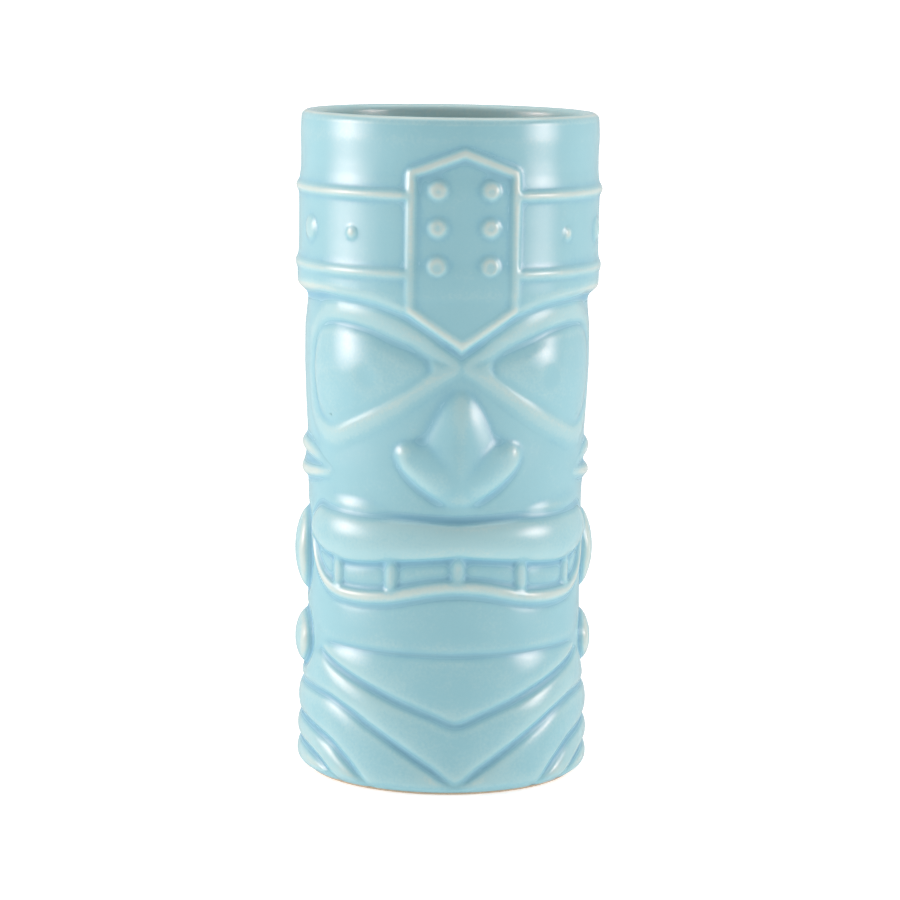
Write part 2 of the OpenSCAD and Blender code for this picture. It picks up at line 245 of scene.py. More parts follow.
def add_pad(name, rows, slot="glazed_body", layer=1, node=None, fullness=2.0, crest=0.5, edge=0.8,
            curved=True):
    """Raises a pad and notes it down."""
    mark = pad_mark(rows, fullness, crest, edge, curved)
    add(name, slot, layer, "pad", rows, mark, curved, node=node)


def square_ends(rows, inside):
    """Stops an open ridge's outline at its two ends, where its mesh will stop."""
    for tip, beside in ((rows[0], rows[1]), (rows[-1], rows[-2])):
        across = ((angle_of - tip[0] + 180) % 360 - 180) * mm_per_degree
        up = z_of - tip[1]
        run = np.array([(beside[0] - tip[0]) * mm_per_degree, beside[1] - tip[1]])
        along = (across * run[0] + up * run[1]) / np.linalg.norm(run)
        near = np.hypot(across, up) < 2.5 * tip[2]
        inside = np.where(near, np.minimum(inside, along), inside)
    return inside


def add_ridge(name, rows, slot="glazed_crests", layer=1, node=None, closed=False, power=1.0, curved=True):
    """Raises a ridge and notes it down."""
    height, inside = ridge_mark(rows, closed, power, curved)
    if not closed:
        inside = square_ends(curve(rows) if curved else np.array(rows, float), inside)
    add(name, slot, layer, "ridge", rows, (height, inside), curved, closed, node)


def cut_line(rows, closed=False, power=1.5, curved=True):
    """Cuts a soft groove into the relief, along rows like a ridge's."""
    np.subtract(relief, ridge_mark(rows, closed, power, curved)[0], out=relief)


def tell(step):
    """Says how far the relief has come."""
    print(f"{step}: {len(patches)} pieces noted, relief {relief.min():.2f} to {relief.max():.2f} mm")


tell("nothing drawn")

# %% [markdown]
# ## The plain wall
#
# Under the carving the mug is a tumbler: a collar at the top, a thicker headband and a slightly waisted
# body. The headband's lower edge isn't level. It dips to a point between the brows, so the wall's radius
# is mixed from two profiles, one above that edge and one below it. Above the eyes the body swells a
# little to meet the brow, so the upper lids face slightly down and stay out of the light.

# %% Radius of the wall
face_profile = np.array([(0, 33.25), (0.5, 33.7), (1.4, 34.9), (2.6, 35.5), (4.5, 35.6), (21, 35.4),
                         (26, 34.9), (33, 34.5), (40, 34.3), (47, 34.2), (70, 34.2), (80, 34.6),
                         (86, 34.6), (93, 35.0), (103, 35.4), (112, 35.4), (118, 34.8), (165, 34.8)])
band_profile = np.array([(0, 37.2), (121, 37.2), (122.5, 37.4), (124.5, 37.45), (127.7, 37.48),
                         (130.5, 37.2), (135, 37.15), (141, 37.2), (146, 37.3), (148, 37.15),
                         (151, 36.82), (154.5, 36.8), (159.5, 37.0), (163.2, 36.8), (165, 36.8)])
brow_edge = curve([(0, 109.2), (7, 112), (17, 116.2), (22.5, 118.1), (34.5, 120.3), (49, 121.3),
                   (63, 121.7), (76, 121.2), (100, 120.9), (180, 120.9)])
edge_z = np.interp(np.abs(angle_of), brow_edge[:, 0], brow_edge[:, 1])
step_below, step_tall = 1.4, 3.0
above = ease((z_of - edge_z + step_below) / step_tall)
swell, swell_low, swell_high = 0.75, 111.0, 118.0
swell_end, swell_fade = 70.0, 18.0
brow_fill = swell * np.clip((z_of - swell_low) / (swell_high - swell_low), 0, 1)
brow_fill *= ease((swell_end - np.abs(angle_of)) / swell_fade)
face_r = np.interp(z_of, *face_profile.T) + brow_fill
band_r = np.interp(z_of, *band_profile.T)
wall = soften(face_r * (1 - above) + band_r * above, 0.5)
print("wall radius from", round(wall.min(), 2), "to", round(wall.max(), 2), "mm")

# %% [markdown]
# ## Headband
#
# The headband is a broad strap with a rolled lower edge, two thin raised lines and a row of studs. It
# stops at the sides of a plaque on the forehead. Its thickness is already in the wall's profile, so the
# strap is a pad with no height of its own, which only makes that part of the wall a piece.

# %% Strap
plaque_a = 22.0
band_low, band_high = 120.8, 147.2
strap = [(plaque_a, band_low, band_high, 0.0), (360 - plaque_a, band_low, band_high, 0.0)]
add_pad("headband", strap, curved=False)
tell("strap")

# %% [markdown]
# Where glaze meets a raised edge it pools in a dark line. So a shallow groove is cut along the plaque's
# frame before the frame is raised. It is wider than the frame and shows on both sides of it.

# %% Groove for the plaque's frame
frame_half = 1.5
inner_a = plaque_a - frame_half / mm_per_degree
outline = [(-inner_a, 119.2, 0.45), (-inner_a, 151.8, 1), (0, 156.6, 1), (inner_a, 151.8, 1),
           (inner_a, 119.2, 0.45), (0, 110.9, 0.12)]
cut_line([(a, z, 3.2, 0.2 * share) for a, z, share in outline], closed=True, curved=False)
tell("groove")

# %% [markdown]
# The raised lines run right round the mug and tuck in under the frame. The studs are domes in two
# sizes, in one row between the lines, and their places behind the ears repeat the ones in front. Rings
# and balls set on the wall would look glued on. Drawn as marks, they blend into it.

# %% Ridges and studs of the headband
tuck_a = 1.5
for name, z, lift in (("headband_upper_ridge", 146.5, 0.72), ("headband_lower_ridge", 127.7, 0.52)):
    line = [(a, z, 1.55, lift) for a in np.linspace(plaque_a - tuck_a, 360 + tuck_a - plaque_a, 60)]
    add_ridge(name, line, layer=2, power=1.4, curved=False)
stud_row = 137.0
for node, angles, radius, lift in (("headband_small_studs", (44.5, 135.5), 1.8, 0.55),
                                   ("headband_large_studs", (70, 110), 3.3, 0.8)):
    for side in (-1, 1):
        for angle in angles:
            name = f"{node}_{'right' if side > 0 else 'left'}_{'front' if angle < 90 else 'back'}"
            disc = (side * angle, stud_row, radius, lift)
            add(name, "glazed_crests", 2, "dome", disc, dome_mark(*disc), node=node)
tell("headband")

# %% [markdown]
# ## Plaque
#
# A six-sided plaque sits on the forehead, with a raised frame and six studs in two columns. The frame
# could be six bars joined at the corners, but one closed ridge turns the corners by itself. It thins
# towards its lowest point, between the brows. Each stud sits in a shallow dimple where glaze pooled.

# %% Plaque
panel = [(-plaque_a, 118.3, 153.2), (0, 109.4, 158.2), (plaque_a, 118.3, 153.2)]
add_pad("plaque_panel", [(a, low, high, 0.0) for a, low, high in panel], curved=False)
add_ridge("plaque_frame", [(a, z, frame_half, 0.88 * share) for a, z, share in outline], layer=2,
          closed=True, power=0.85, curved=False)
stud_a, stud_r, stud_lift = 9.7, 2.65, 0.95
for row, z in enumerate((147.9, 138.9, 129.9), 1):
    for side, label in ((-1, "left"), (1, "right")):
        disc = (side * stud_a, z, stud_r, stud_lift)
        cut_line([(disc[0], z, 4.0, 0.2), (disc[0], z + 0.01, 4.0, 0.2)], curved=False)
        add(f"plaque_stud_{label}_{row}", "glazed_crests", 2, "dome", disc, dome_mark(*disc),
            node="plaque_studs")
tell("plaque")

# %% [markdown]
# ## Cheeks
#
# Over the upper lip the wall swells out a little, and that slope catches a soft light on each cheek. It
# belongs to the vessel, so the softened pad is only added to the relief and no piece is noted.

# %% Cheeks
cheek = [(12, 63.0, 68.4, 0.05), (22, 63.4, 69.2, 0.4), (30, 63.8, 70.4, 0.7), (40, 64.4, 71.8, 0.85),
         (50, 64.8, 72.2, 0.85), (60, 64.8, 71.8, 0.5), (70, 64.4, 69.6, 0.05)]
for rows in (cheek, left_of(cheek)):
    relief += soften(pad_mark(rows, edge=1.2)[0], 0.5)
tell("cheeks")

# %% [markdown]
# ## Brows and eyes
#
# The brow is the lower part of the headband, which ends in a soft lip over a deep groove. That lip is
# already in the wall, so the brows only get their pieces here, and the groove is cut under them.

# %% Brows
brow = [(22.2, 117.4, 120.8, 0.0), (28, 118.4, 120.8, 0.0), (38, 119.6, 120.8, 0.0),
        (52, 119.9, 120.8, 0.0), (66, 120.0, 120.8, 0.0), (76, 120.1, 120.8, 0.0)]
add_pad("brow_right", brow, "glazed_crests")
add_pad("brow_left", left_of(brow), "glazed_crests")
groove = [(0.0, 108.2, 1.5, 0.26), (3, 109.3, 1.5, 0.3), (9.8, 112.3, 1.5, 0.32), (18, 115.2, 1.5, 0.32),
          (26.5, 117.2, 1.5, 0.32), (36, 118.5, 1.5, 0.32), (46, 119.3, 1.5, 0.3), (60, 119.6, 1.4, 0.26),
          (78, 118.8, 1.2, 0.12), (92, 118.4, 1, 0.02)]
cut_line(both_sides(groove))
tell("brows")

# %% [markdown]
# A broad lid runs all the way round each eye, and the two lids touch between the eyes. A bent ring
# could follow the outline, but its width has to change as well, and each row of a ridge brings its own.
# Some clay is added where the lids come close. The glaze is thin over a lid's whole width and not only
# on its crest, so a second sheet collects such thin spots.

# %% Lids
lid = [(2.6, 105.5, 2.6, 0.42), (8.5, 108.7, 3.1, 0.5), (16, 112.2, 3.7, 0.56), (26, 115.2, 4.1, 0.6),
       (38, 117.2, 4.3, 0.6), (53, 117.9, 4.1, 0.52), (65, 116.4, 3.4, 0.34), (73.5, 111.5, 2.8, 0.16),
       (76.3, 103.6, 2.8, 0.1), (75.9, 97.5, 2.8, 0.13), (73.8, 92.8, 3.1, 0.2), (69.5, 89.5, 3.5, 0.32),
       (63.5, 87.8, 4.1, 0.44), (56, 87.8, 4.7, 0.56), (47, 90.3, 5.0, 0.64), (34, 94.1, 4.9, 0.66),
       (23.5, 97.9, 4.5, 0.64), (14, 101.5, 3.9, 0.56), (7, 104.0, 3.0, 0.48)]
lid_power = 1.7
for side in (-1, 1):
    inner_corner = [(side * 10, 105.2, 3.4, 0.42), (side * 4, 105.2, 3.4, 0.42)]
    raise_clay(*ridge_mark(inner_corner, curved=False, power=1.5))
thin_spots = np.zeros_like(relief)
for name, rows in (("eye_frame_right", lid), ("eye_frame_left", left_of(lid))):
    add_ridge(name, rows, layer=2, closed=True, power=lid_power)
    thin_spots += 0.5 * ridge_mark(rows, closed=True, power=lid_power)[0]
tell("lids")

# %% [markdown]
# The eye is a low dome that runs out to its two corners. A flattened ball would lose the corners, so
# it's a pad whose two edges meet in them. A groove follows its edge, a second one deepens its inner
# corner, and a shallow round dimple stands for the pupil.

# %% Eyes
eye = [(12.6, 104.4, 105.8, 0.1), (14.8, 102.8, 107.5, 0.4), (19, 100.9, 109.3, 0.75),
       (26, 98.0, 111.1, 1.25), (36, 94.6, 113.2, 1.8), (46, 91.7, 114.5, 1.9), (56, 89.6, 114.7, 1.6),
       (63, 90.2, 113.6, 1.15), (68, 93.0, 111.2, 0.7), (71, 97.4, 106.6, 0.3),
       (71.9, 101.4, 103.2, 0.1)]
edge_of_eye = [(a, low) for a, low, high, lift in eye] + [(a, high) for a, low, high, lift in eye[::-1]]
corner_dip = [(14, 105.3, 2.2, 0.1), (18, 107.4, 2.8, 0.22), (26, 109.6, 2.6, 0.2), (35, 111.9, 1.8, 0.08)]
for side, name in ((1, "eye_right"), (-1, "eye_left")):
    add_pad(name, eye if side > 0 else left_of(eye), crest=0.54, edge=0.95)
    cut_line([(side * a, z, 1.1, 0.2) for a, z in edge_of_eye], closed=True)
    cut_line([(side * a, z, half, lift) for a, z, half, lift in corner_dip])
    cut_line([(side * 37.5, z, 4.0, 0.26) for z in (102.2, 102.3)], curved=False, power=2)
tell("eyes")

# %% [markdown]
# ## Nose
#
# The nose is a ridge that widens downwards, with two wings that turn up at their tips. Raised one by
# one these would meet in creases, so they are put together first, softened as one form and then raised.
# The piece follows the outline of the whole nose, which holds slightly more glaze than its height says.

# %% Nose
cut_line([(0, 95, 4.0, 0.2), (0, 99, 4.6, 0.25), (0, 102.5, 2.6, 0.1)], power=2)
ridge_line = [(0, 98.4, 1.6, 0.6), (0, 95.6, 4.0, 2.0), (0, 92, 6.2, 2.95), (0, 88, 8.0, 3.3),
              (0, 84, 9.4, 3.35), (0, 80, 9.4, 3.05), (0, 76, 7.0, 2.4)]
wings = [(0, 71.7, 90, 2.6), (4, 71.9, 88.4, 2.65), (9.5, 73.2, 87.4, 2.35), (14, 75.0, 87.2, 1.95),
         (18, 77.0, 87.2, 1.6), (21.5, 79.0, 87.0, 1.35), (24.2, 81.0, 86.0, 0.8),
         (25.3, 82.6, 84.2, 0.2)]
form = np.maximum(ridge_mark(ridge_line, tent=1.35)[0], pad_mark(both_sides(wings), crest=0.42)[0])
for side in (-1, 1):
    form = np.maximum(form, dome_mark(side * 21.2, 84.0, 3.0, 1.4)[0])
form = soften(form, 0.65)
np.maximum(relief, form, out=relief)
thin_spots -= 0.06 * form
nose = [(0, 71.5, 99.4), (2.5, 71.7, 98.4), (6.4, 72.3, 95.8), (9.9, 73.3, 92.2), (12.7, 74.4, 88.8),
        (15.5, 75.6, 87.8), (19, 77.3, 87.6), (21.8, 79.0, 87.4), (24.4, 81.0, 86.4), (25.6, 82.4, 84.4)]
nose_rows = both_sides([(a, low, high, 1.0) for a, low, high in nose])
note_piece("nose", "glazed_body", 2, "pad", nose_rows, pad_mark(nose_rows)[1])
tell("nose")

# %% [markdown]
# Glaze pooled beside the bridge and under the wings, where a finger would press the clay in. These are
# grooves with a soft bell for a section, deepest next to the wings and fading out at both ends.

# %% Grooves beside and under the nose
beside_nose = [(5, 98, 2.2, 0.05), (10.5, 93, 2.6, 0.1), (14, 89.6, 2.6, 0.14), (15.8, 87.6, 2.2, 0.16),
               (15.6, 85.4, 1.6, 0.08)]
cut_line(beside_nose)
cut_line(left_of(beside_nose))
under_nose = [(0, 71.4, 1.4, 0.26), (7, 72.2, 1.4, 0.26), (13, 74.0, 1.4, 0.26), (18.5, 76.3, 1.4, 0.24),
              (24, 79.8, 1.2, 0.16), (27.5, 83.2, 1.0, 0.02)]
cut_line(both_sides(under_nose))
tell("grooves of the nose")

# %% [markdown]
# ## Mouth
#
# The upper lip is the strongest bulge on the mug. The lower lip is a thin rope that climbs at both ends
# to meet it. Between them a slot with a flat floor is sunk into the wall before the lips are raised, so
# that they stand over its edges and the teeth lie in shade.

# %% Slot and upper lip
slot_rows = [(0, 50.6, 60.0, 0.42), (20, 49.6, 59.6, 0.42), (45, 48.6, 58.2, 0.42), (60, 49.4, 59.4, 0.4),
             (70, 53, 62, 0.3), (75, 57, 62, 0.1)]
relief -= soften(pad_mark(both_sides(slot_rows), fullness=5)[0], 0.5)
upper_lip = [(0, 58.6, 67.9, 2.4), (12, 58.1, 68.2, 2.4), (24, 57.4, 68.6, 2.45), (37, 56.5, 68.9, 2.6),
             (50, 56.1, 69.3, 2.6), (60, 56.9, 69.2, 2.3), (67, 58.0, 69.0, 1.9), (73, 59.5, 67.0, 1.3),
             (77, 61.0, 65.0, 0.5)]
add_pad("upper_lip", both_sides(upper_lip), fullness=2.2, crest=0.47, edge=0.9)
over_lip = [(0, 68.2, 1.4, 0.36), (12, 68.5, 1.4, 0.36), (24, 68.7, 1.4, 0.34), (37, 68.8, 1.4, 0.24),
            (50, 69.0, 1.4, 0.18), (61, 69.2, 1.4, 0.24), (70, 69.0, 1.3, 0.26), (77, 66.0, 1.1, 0.12)]
cut_line(both_sides(over_lip))
tell("upper lip")

# %% [markdown]
# The lower lip keeps nearly the same width from end to end, so it's a ridge and not a pad. A wide and
# very shallow groove under it sets it off from the chin.

# %% Lower lip
lower_lip = [(0, 51.7, 2.0, 0.9), (10.5, 51.2, 2.0, 0.9), (21, 49.8, 2.0, 0.95), (31, 48.6, 2.0, 1.0),
             (45, 48.1, 2.0, 1.0), (57, 48.8, 1.9, 0.95), (65, 50.9, 1.7, 0.9), (71, 54.2, 1.4, 0.8),
             (75, 58.4, 1.1, 0.7), (77.5, 62.4, 0.9, 0.4)]
add_ridge("lower_lip", both_sides(lower_lip), layer=2, power=1.1)
under_lip = [(0, 48.8, 3.8, 0.12), (20, 47.0, 3.8, 0.12), (45, 45.4, 3.6, 0.11), (60, 46.9, 2.6, 0.06),
             (72, 52.0, 1.8, 0.04), (78, 58.5, 1.0, 0.01)]
cut_line(both_sides(under_lip))
tell("lower lip")

# %% [markdown]
# The teeth are low pads parted by five upright bars. A tooth raised on its own would get a crisp edge
# in the middle of the slot, so each is softened and added, and only its outline is noted as a piece.
# The bars are short ridges that run in under both lips.

# %% Teeth
tooth_rows = [[(2.2, 54.0, 57.2, 0.2), (3.8, 53.3, 58.0, 0.75), (9, 52.9, 58.0, 0.8), (14, 52.3, 57.8, 0.8),
               (19, 51.6, 57.5, 0.8), (24, 50.9, 57.0, 0.75), (25.6, 51.6, 56.2, 0.2)],
              [(29.6, 51.4, 56, 0.2), (31.2, 50.6, 56.6, 0.75), (36, 50.2, 56.3, 0.8), (41, 50, 56.1, 0.8),
               (46, 50, 55.9, 0.8), (51.2, 50.2, 55.9, 0.75), (52.8, 51, 55.2, 0.2)],
              [(56.8, 51.6, 55.8, 0.2), (58.4, 50.9, 56.6, 0.65), (62, 51.6, 57.4, 0.75),
               (66, 53.6, 58.8, 0.65), (69.6, 56.8, 60.2, 0.2)]]
for number, rows in enumerate(tooth_rows, 1):
    for tooth, label in ((rows, "right"), (left_of(rows), "left")):
        height, inside = pad_mark(tooth)
        relief += soften(0.6 * height, 0.8)
        note_piece(f"tooth_{label}_{number}", "glazed_body", 1, "pad", tooth, inside, node="teeth")
bar_places = {"middle": (0, 52.6, 58.8), "right_1": (27.6, 50.2, 57.4), "left_1": (-27.6, 50.2, 57.4),
              "right_2": (54.8, 49.8, 56.8), "left_2": (-54.8, 49.8, 56.8)}
under_the_lips = 0.9
for label, (a, low, high) in bar_places.items():
    bar = [(a, low - under_the_lips, 2.0, 0.55), (a, (low + high) / 2, 2.1, 0.6),
           (a, high + under_the_lips, 2.0, 0.55)]
    add_ridge(f"tooth_bar_{label}", bar, layer=2, power=1.5, node="tooth_bars")
tell("teeth")

# %% [markdown]
# ## Ears
#
# Each side has an ear: a looped ridge for its shell, a long lobe and a round plug that hangs below it.
# Seen from the front they are the small bumps that break the mug's outline. A lobe or a plug is a pad
# whose rows lie on an oval, and the same oval, a little larger, is the groove round it.

# %% Ears, lobes and pendants
ear = [(67, 80.0, 1.2, 0.15), (73, 81.4, 1.8, 0.7), (81, 82.2, 2.2, 1.15), (91, 82.4, 2.2, 1.25),
       (101, 82.0, 2.0, 1.2), (106.5, 79.4, 1.8, 1.2), (101, 76.7, 1.9, 1.3), (90, 76.1, 2.0, 1.5),
       (79, 76.4, 1.9, 1.3), (68, 77.0, 1.6, 0.8), (60, 77.6, 1.2, 0.2)]
add_ridge("ear_right", ear, closed=True, power=0.9)
add_ridge("ear_left", left_of(ear), closed=True, power=0.9)


def oval(angle, z, half_angle, half_z, lift):
    """Rows of an upright oval boss."""
    turn = np.radians(np.linspace(-84, 84, 13))
    return [(angle + half_angle * math.sin(f), z - half_z * math.cos(f), z + half_z * math.cos(f),
             lift * math.cos(f) ** 0.6) for f in turn]


for name, shape, ring in (("ear_lobe", oval(91, 55.8, 11.5, 10.5, 3.3), (91, 55.8, 12.4, 11.2)),
                          ("ear_pendant", oval(90, 33.5, 13.6, 6.9, 2.8), (90, 33.5, 14.4, 7.6))):
    for side, label in ((1, "right"), (-1, "left")):
        add_pad(f"{name}_{label}", shape if side > 0 else left_of(shape), edge=0.7)
        edge = [(side * (ring[0] + ring[2] * math.cos(f)), ring[1] + ring[3] * math.sin(f), 1.1, 0.4)
                for f in np.linspace(0, 2 * math.pi, 25)[:-1]]
        cut_line(edge, closed=True)
tell("ears")

# %% [markdown]
# ## Chin and beard
#
# Under the mouth is a smooth chin. The beard below it is a stack of rounded strands that fall to a
# point and sweep up to the ears. The uppermost one, the bib, fills the space under the chin. Bevelled
# curves would give strands of one width. A pad's lower and upper edges are drawn apart, so each strand
# can widen and its neighbour can follow.

# %% Chin and bib
chin = [(0, 35.0, 48.6, 0.3), (14, 35.0, 47.8, 0.3), (31, 35.0, 45.6, 0.3), (45, 35.2, 45.0, 0.25),
        (57, 35.5, 45.4, 0.15), (66, 36.4, 45.0, 0.1), (72, 38.5, 43.4, 0.02)]
add_pad("chin", both_sides(chin), crest=0.25, edge=1)
bib = [(0, 18.0, 34.6, 0.65), (10, 20.3, 34.6, 0.7), (21.5, 22.9, 34.7, 0.75), (33, 25.4, 34.8, 0.75),
       (46, 28.2, 34.8, 0.65), (57, 30.7, 34.7, 0.5), (64.5, 32.7, 34.2, 0.15)]
add_pad("beard_bib", both_sides(bib), crest=0.42, edge=1)
tell("chin and bib")

# %% [markdown]
# Two of the strands cross the middle of the face and two start at the foot on each side. Rows that
# start at angle 0 are mirrored into one strand, and the others make a strand on each side.

# %% Strands
strands = {
    "beard_strand_upper": [
        (0, 3.2, 17.2, 0.75), (10, 7.1, 19.4, 0.75), (21.5, 11.6, 22.0, 0.8), (36, 16.9, 25.6, 0.85),
        (46, 19.8, 27.8, 0.9), (57, 21.9, 30.2, 1.0), (66, 22.6, 32.2, 0.9), (73, 22.9, 31.4, 0.6),
        (82, 23, 27.0, 0.35), (95, 23.1, 26.4, 0.25), (108, 24, 25.6, 0.05)],
    "beard_strand_middle": [
        (0, 1.0, 2.2, 0.1), (10, 1.0, 6.3, 0.5), (20, 1.0, 10.3, 0.7), (30, 1.1, 14.1, 0.75),
        (37, 2.4, 16.3, 0.8), (45, 6.4, 18.9, 0.85), (55, 10.6, 21, 0.85), (65, 12.6, 21.8, 0.85),
        (76, 13.8, 22.1, 0.85), (92, 14.3, 22.1, 0.8), (105, 15.4, 21.6, 0.6), (113, 17.2, 20.2, 0.2)],
    "beard_strand_lower": [
        (37.5, 1.0, 1.7, 0.1), (44, 1.1, 5.2, 0.6), (50, 1.4, 7.8, 0.85), (56, 2.8, 10, 0.95),
        (66, 6.1, 12, 1.0), (78, 7.5, 13.3, 1.0), (92, 7.9, 13.8, 0.9), (105, 8.9, 13.9, 0.7),
        (113, 10.6, 12.8, 0.2)],
    "beard_strand_bottom": [
        (53.5, 1.0, 1.7, 0.1), (60, 1.0, 3.9, 0.6), (68, 1.0, 5.7, 0.85), (80, 1.0, 7.1, 0.95),
        (94, 1.0, 7.4, 0.9), (106, 1.4, 7.4, 0.6), (113, 3, 6.6, 0.2)]}
for name, rows in strands.items():
    if rows[0][0] == 0:
        add_pad(name, both_sides(rows), crest=0.48, edge=0.9)
    else:
        add_pad(f"{name}_right", rows, crest=0.48, edge=0.9, node=name)
        add_pad(f"{name}_left", left_of(rows), crest=0.48, edge=0.9, node=name)
tell("strands")

# %% [markdown]
# The strands almost touch, and the glaze between them is the darkest line on the mug. The grooves are
# cut after the strands are raised, so that each takes a little from the strand on either side.

# %% Grooves between the strands
creases = {
    "under the chin": [
        (0, 34.7, 1.3, 0.3), (6, 34.7, 1.4, 0.27), (12, 34.8, 1.5, 0.2), (24, 34.9, 1.5, 0.16),
        (45, 35.2, 1.4, 0.14), (60, 35.2, 1.2, 0.14), (70, 34.6, 0.9, 0.05)],
    "under the bib": [
        (0, 17.6, 1.6, 0.40), (10, 19.9, 1.6, 0.40), (21.5, 22.5, 1.6, 0.38), (35.6, 25.7, 1.6, 0.38),
        (46, 28.0, 1.6, 0.36), (57.5, 30.5, 1.5, 0.32), (66.5, 32.9, 1.3, 0.14)],
    "under the upper strand": [
        (0, 2.7, 1.6, 0.40), (10, 6.7, 1.6, 0.40), (20, 10.8, 1.6, 0.38), (30, 14.5, 1.6, 0.38),
        (37, 16.7, 1.6, 0.38), (45, 19.4, 1.6, 0.36), (55, 21.5, 1.5, 0.33), (65, 22.3, 1.5, 0.28),
        (80, 22.6, 1.4, 0.25), (105, 22.8, 1.3, 0.14), (115, 22.8, 0.8, 0.02)],
    "under the middle strand": [
        (35.5, 0.6, 1.5, 0.32), (44, 5.8, 1.6, 0.36), (50, 8.5, 1.6, 0.36), (56, 10.8, 1.5, 0.33),
        (66, 12.4, 1.5, 0.28), (78, 13.7, 1.4, 0.25), (105, 14.6, 1.3, 0.14), (115, 14.9, 0.8, 0.02)],
    "under the lower strand": [
        (52, 0.6, 1.4, 0.27), (60, 4.4, 1.5, 0.33), (68, 6, 1.4, 0.28), (80, 7.3, 1.4, 0.25),
        (105, 8.2, 1.3, 0.14), (115, 8.4, 0.8, 0.02)]}
for name, rows in creases.items():
    if rows[0][0] == 0:
        cut_line(both_sides(rows))
    else:
        cut_line(rows)
        cut_line(left_of(rows))
tell("grooves between the strands")

# %% [markdown]
# ## Hair
#
# Down the back hang seven wavy locks, each a wide half-round strip that narrows to a point. They start
# under the headband, and the outer ones end higher, which leaves a plain border above the foot. Seven
# curves would have to be fitted to the round wall. Seven ridges in the sheet already lie on it.

# %% Hair locks
lock_count, lock_pitch = 7, 17.5
lock_half, lock_lift, lock_wave = 5.0, 1.15, 1.5
lock_top, lowest_tip, tip_step = 120.2, 5, 3.2
for i in range(lock_count):
    k = i - (lock_count - 1) / 2
    tip = lowest_tip + tip_step * abs(k)
    lock = []
    for t in np.linspace(0, 1, 21):
        taper = min(1, math.sqrt(7 * t + 0.01))
        sway = lock_wave * math.sin(t * 4 * math.pi)
        lock.append((180 + k * lock_pitch + sway, tip + t * (lock_top - tip),
                     lock_half * taper, lock_lift * taper))
    add_ridge(f"hair_lock_{i + 1}", lock, "glazed_body", power=0.55, node="hair_locks")
tell("hair")

# %% [markdown]
# ## The glazed surface
#
# Firing rounds everything a little, so the relief is blurred once more and added to the wall. The
# difference between the surface and a wider blur of it says where the glaze ran thin, on the crests, and
# where it pooled, in the grooves. A fine blur finds the narrow lines and a broad one the large forms.
# The material reads the result as a point attribute, from -1 where glaze pooled to 1 where it ran thin.

# %% Surface, slopes and glaze
least_r, most_r = 33.0, 37.93
surface = np.clip(wall + soften(relief, 0.45), least_r, most_r)
slope_up = np.gradient(surface, cell, axis=0)
slope_round = (np.roll(surface, -1, 1) - np.roll(surface, 1, 1)) / (2 * math.radians(360 / columns))
thin_fine = np.clip((surface - soften(surface, 0.9)) / 0.24, -1, 1)
thin_broad = np.clip((surface - soften(surface, 2.6)) / 0.8, -1, 1)
fade_foot = ease((z_of - 1.5) / 3)
glaze_sheet = (0.92 * thin_fine + 0.08 * thin_broad) * fade_foot
glaze_sheet = np.clip(soften(glaze_sheet + thin_spots, 0.25), -1, 1)
print("surface radius from", round(surface.min(), 2), "to", round(surface.max(), 2), "mm")

# %% [markdown]
# ## From sheet to mesh
#
# A patch starts as a flat grid. Its points are given an angle and a height inside the mark's outline,
# then a radius from the surface. Extruding the grid gives the patch a back, so every piece is a closed
# solid that sits in the wall. Where a higher layer covers a patch, the patch dips under it.

# %% Points, normals and the dip
dip_depth, dip_over = 0.5, 0.9


def place(angle, z, layer, out=0.0):
    """Points in metres on the glazed surface, dipped where a higher layer covers them."""
    radius = sample(surface, angle, z) + out
    if layer < 2:
        radius = radius - dip_depth * ease(sample(covered_by[layer + 1], angle, z) / dip_over)
    turn = np.radians(angle)
    return np.stack([radius * np.sin(turn), -radius * np.cos(turn), z], axis=-1) * MM


def normals_at(angle, z):
    """The surface's own normals, finer than the mesh could give."""
    turn = np.radians(angle)
    outward = np.stack([np.sin(turn), -np.cos(turn), np.zeros_like(turn)], -1)
    sideways = np.stack([np.cos(turn), np.sin(turn), np.zeros_like(turn)], -1)
    n = outward - (sample(slope_round, angle, z) / sample(surface, angle, z))[:, None] * sideways
    n[:, 2] -= sample(slope_up, angle, z)
    return n / np.linalg.norm(n, axis=1)[:, None]


def shade(mesh, front, normals, glaze):
    """Smooth shading with the surface's normals on front vertices, and the glaze as a point attribute."""
    mesh.polygons.foreach_set("use_smooth", np.ones(len(mesh.polygons), bool))
    corner_vertex = np.zeros(len(mesh.loops), int)
    mesh.loops.foreach_get("vertex_index", corner_vertex)
    totals = np.zeros(len(mesh.polygons), int)
    mesh.polygons.foreach_get("loop_total", totals)
    face_of_corner = np.repeat(np.arange(len(totals)), totals)
    front_face = np.ones(len(totals), bool)
    np.logical_and.at(front_face, face_of_corner, front[corner_vertex])
    custom = np.where(front_face[face_of_corner][:, None], normals[corner_vertex], 0.0)
    mesh.normals_split_custom_set(custom.tolist())
    attribute = mesh.attributes.new("glaze", "FLOAT", "POINT")
    attribute.data.foreach_set("value", glaze.astype(np.float32))


print("radius at the nose:", round(float(sample(surface, 0, 84)), 2), "mm")

# %% [markdown]
# A grid needs a spacing that is even along the piece, so the rows are laid out again at equal steps. A
# ridge's grid is as wide as its line on both sides, and where the line turns a corner the inner side is
# held back, or its faces would fold over each other. A stud is a square grid pressed into a disc, which
# has no pole in the middle where the shading could pinch. Each layer lies about a hundredth of a
# millimetre further out than the one below it, so that no two faces fall together.

# %% Outlines become grids
spacing = 0.5
lap = {1: 0.012, 2: 0.024}
patch_depth = 1.1


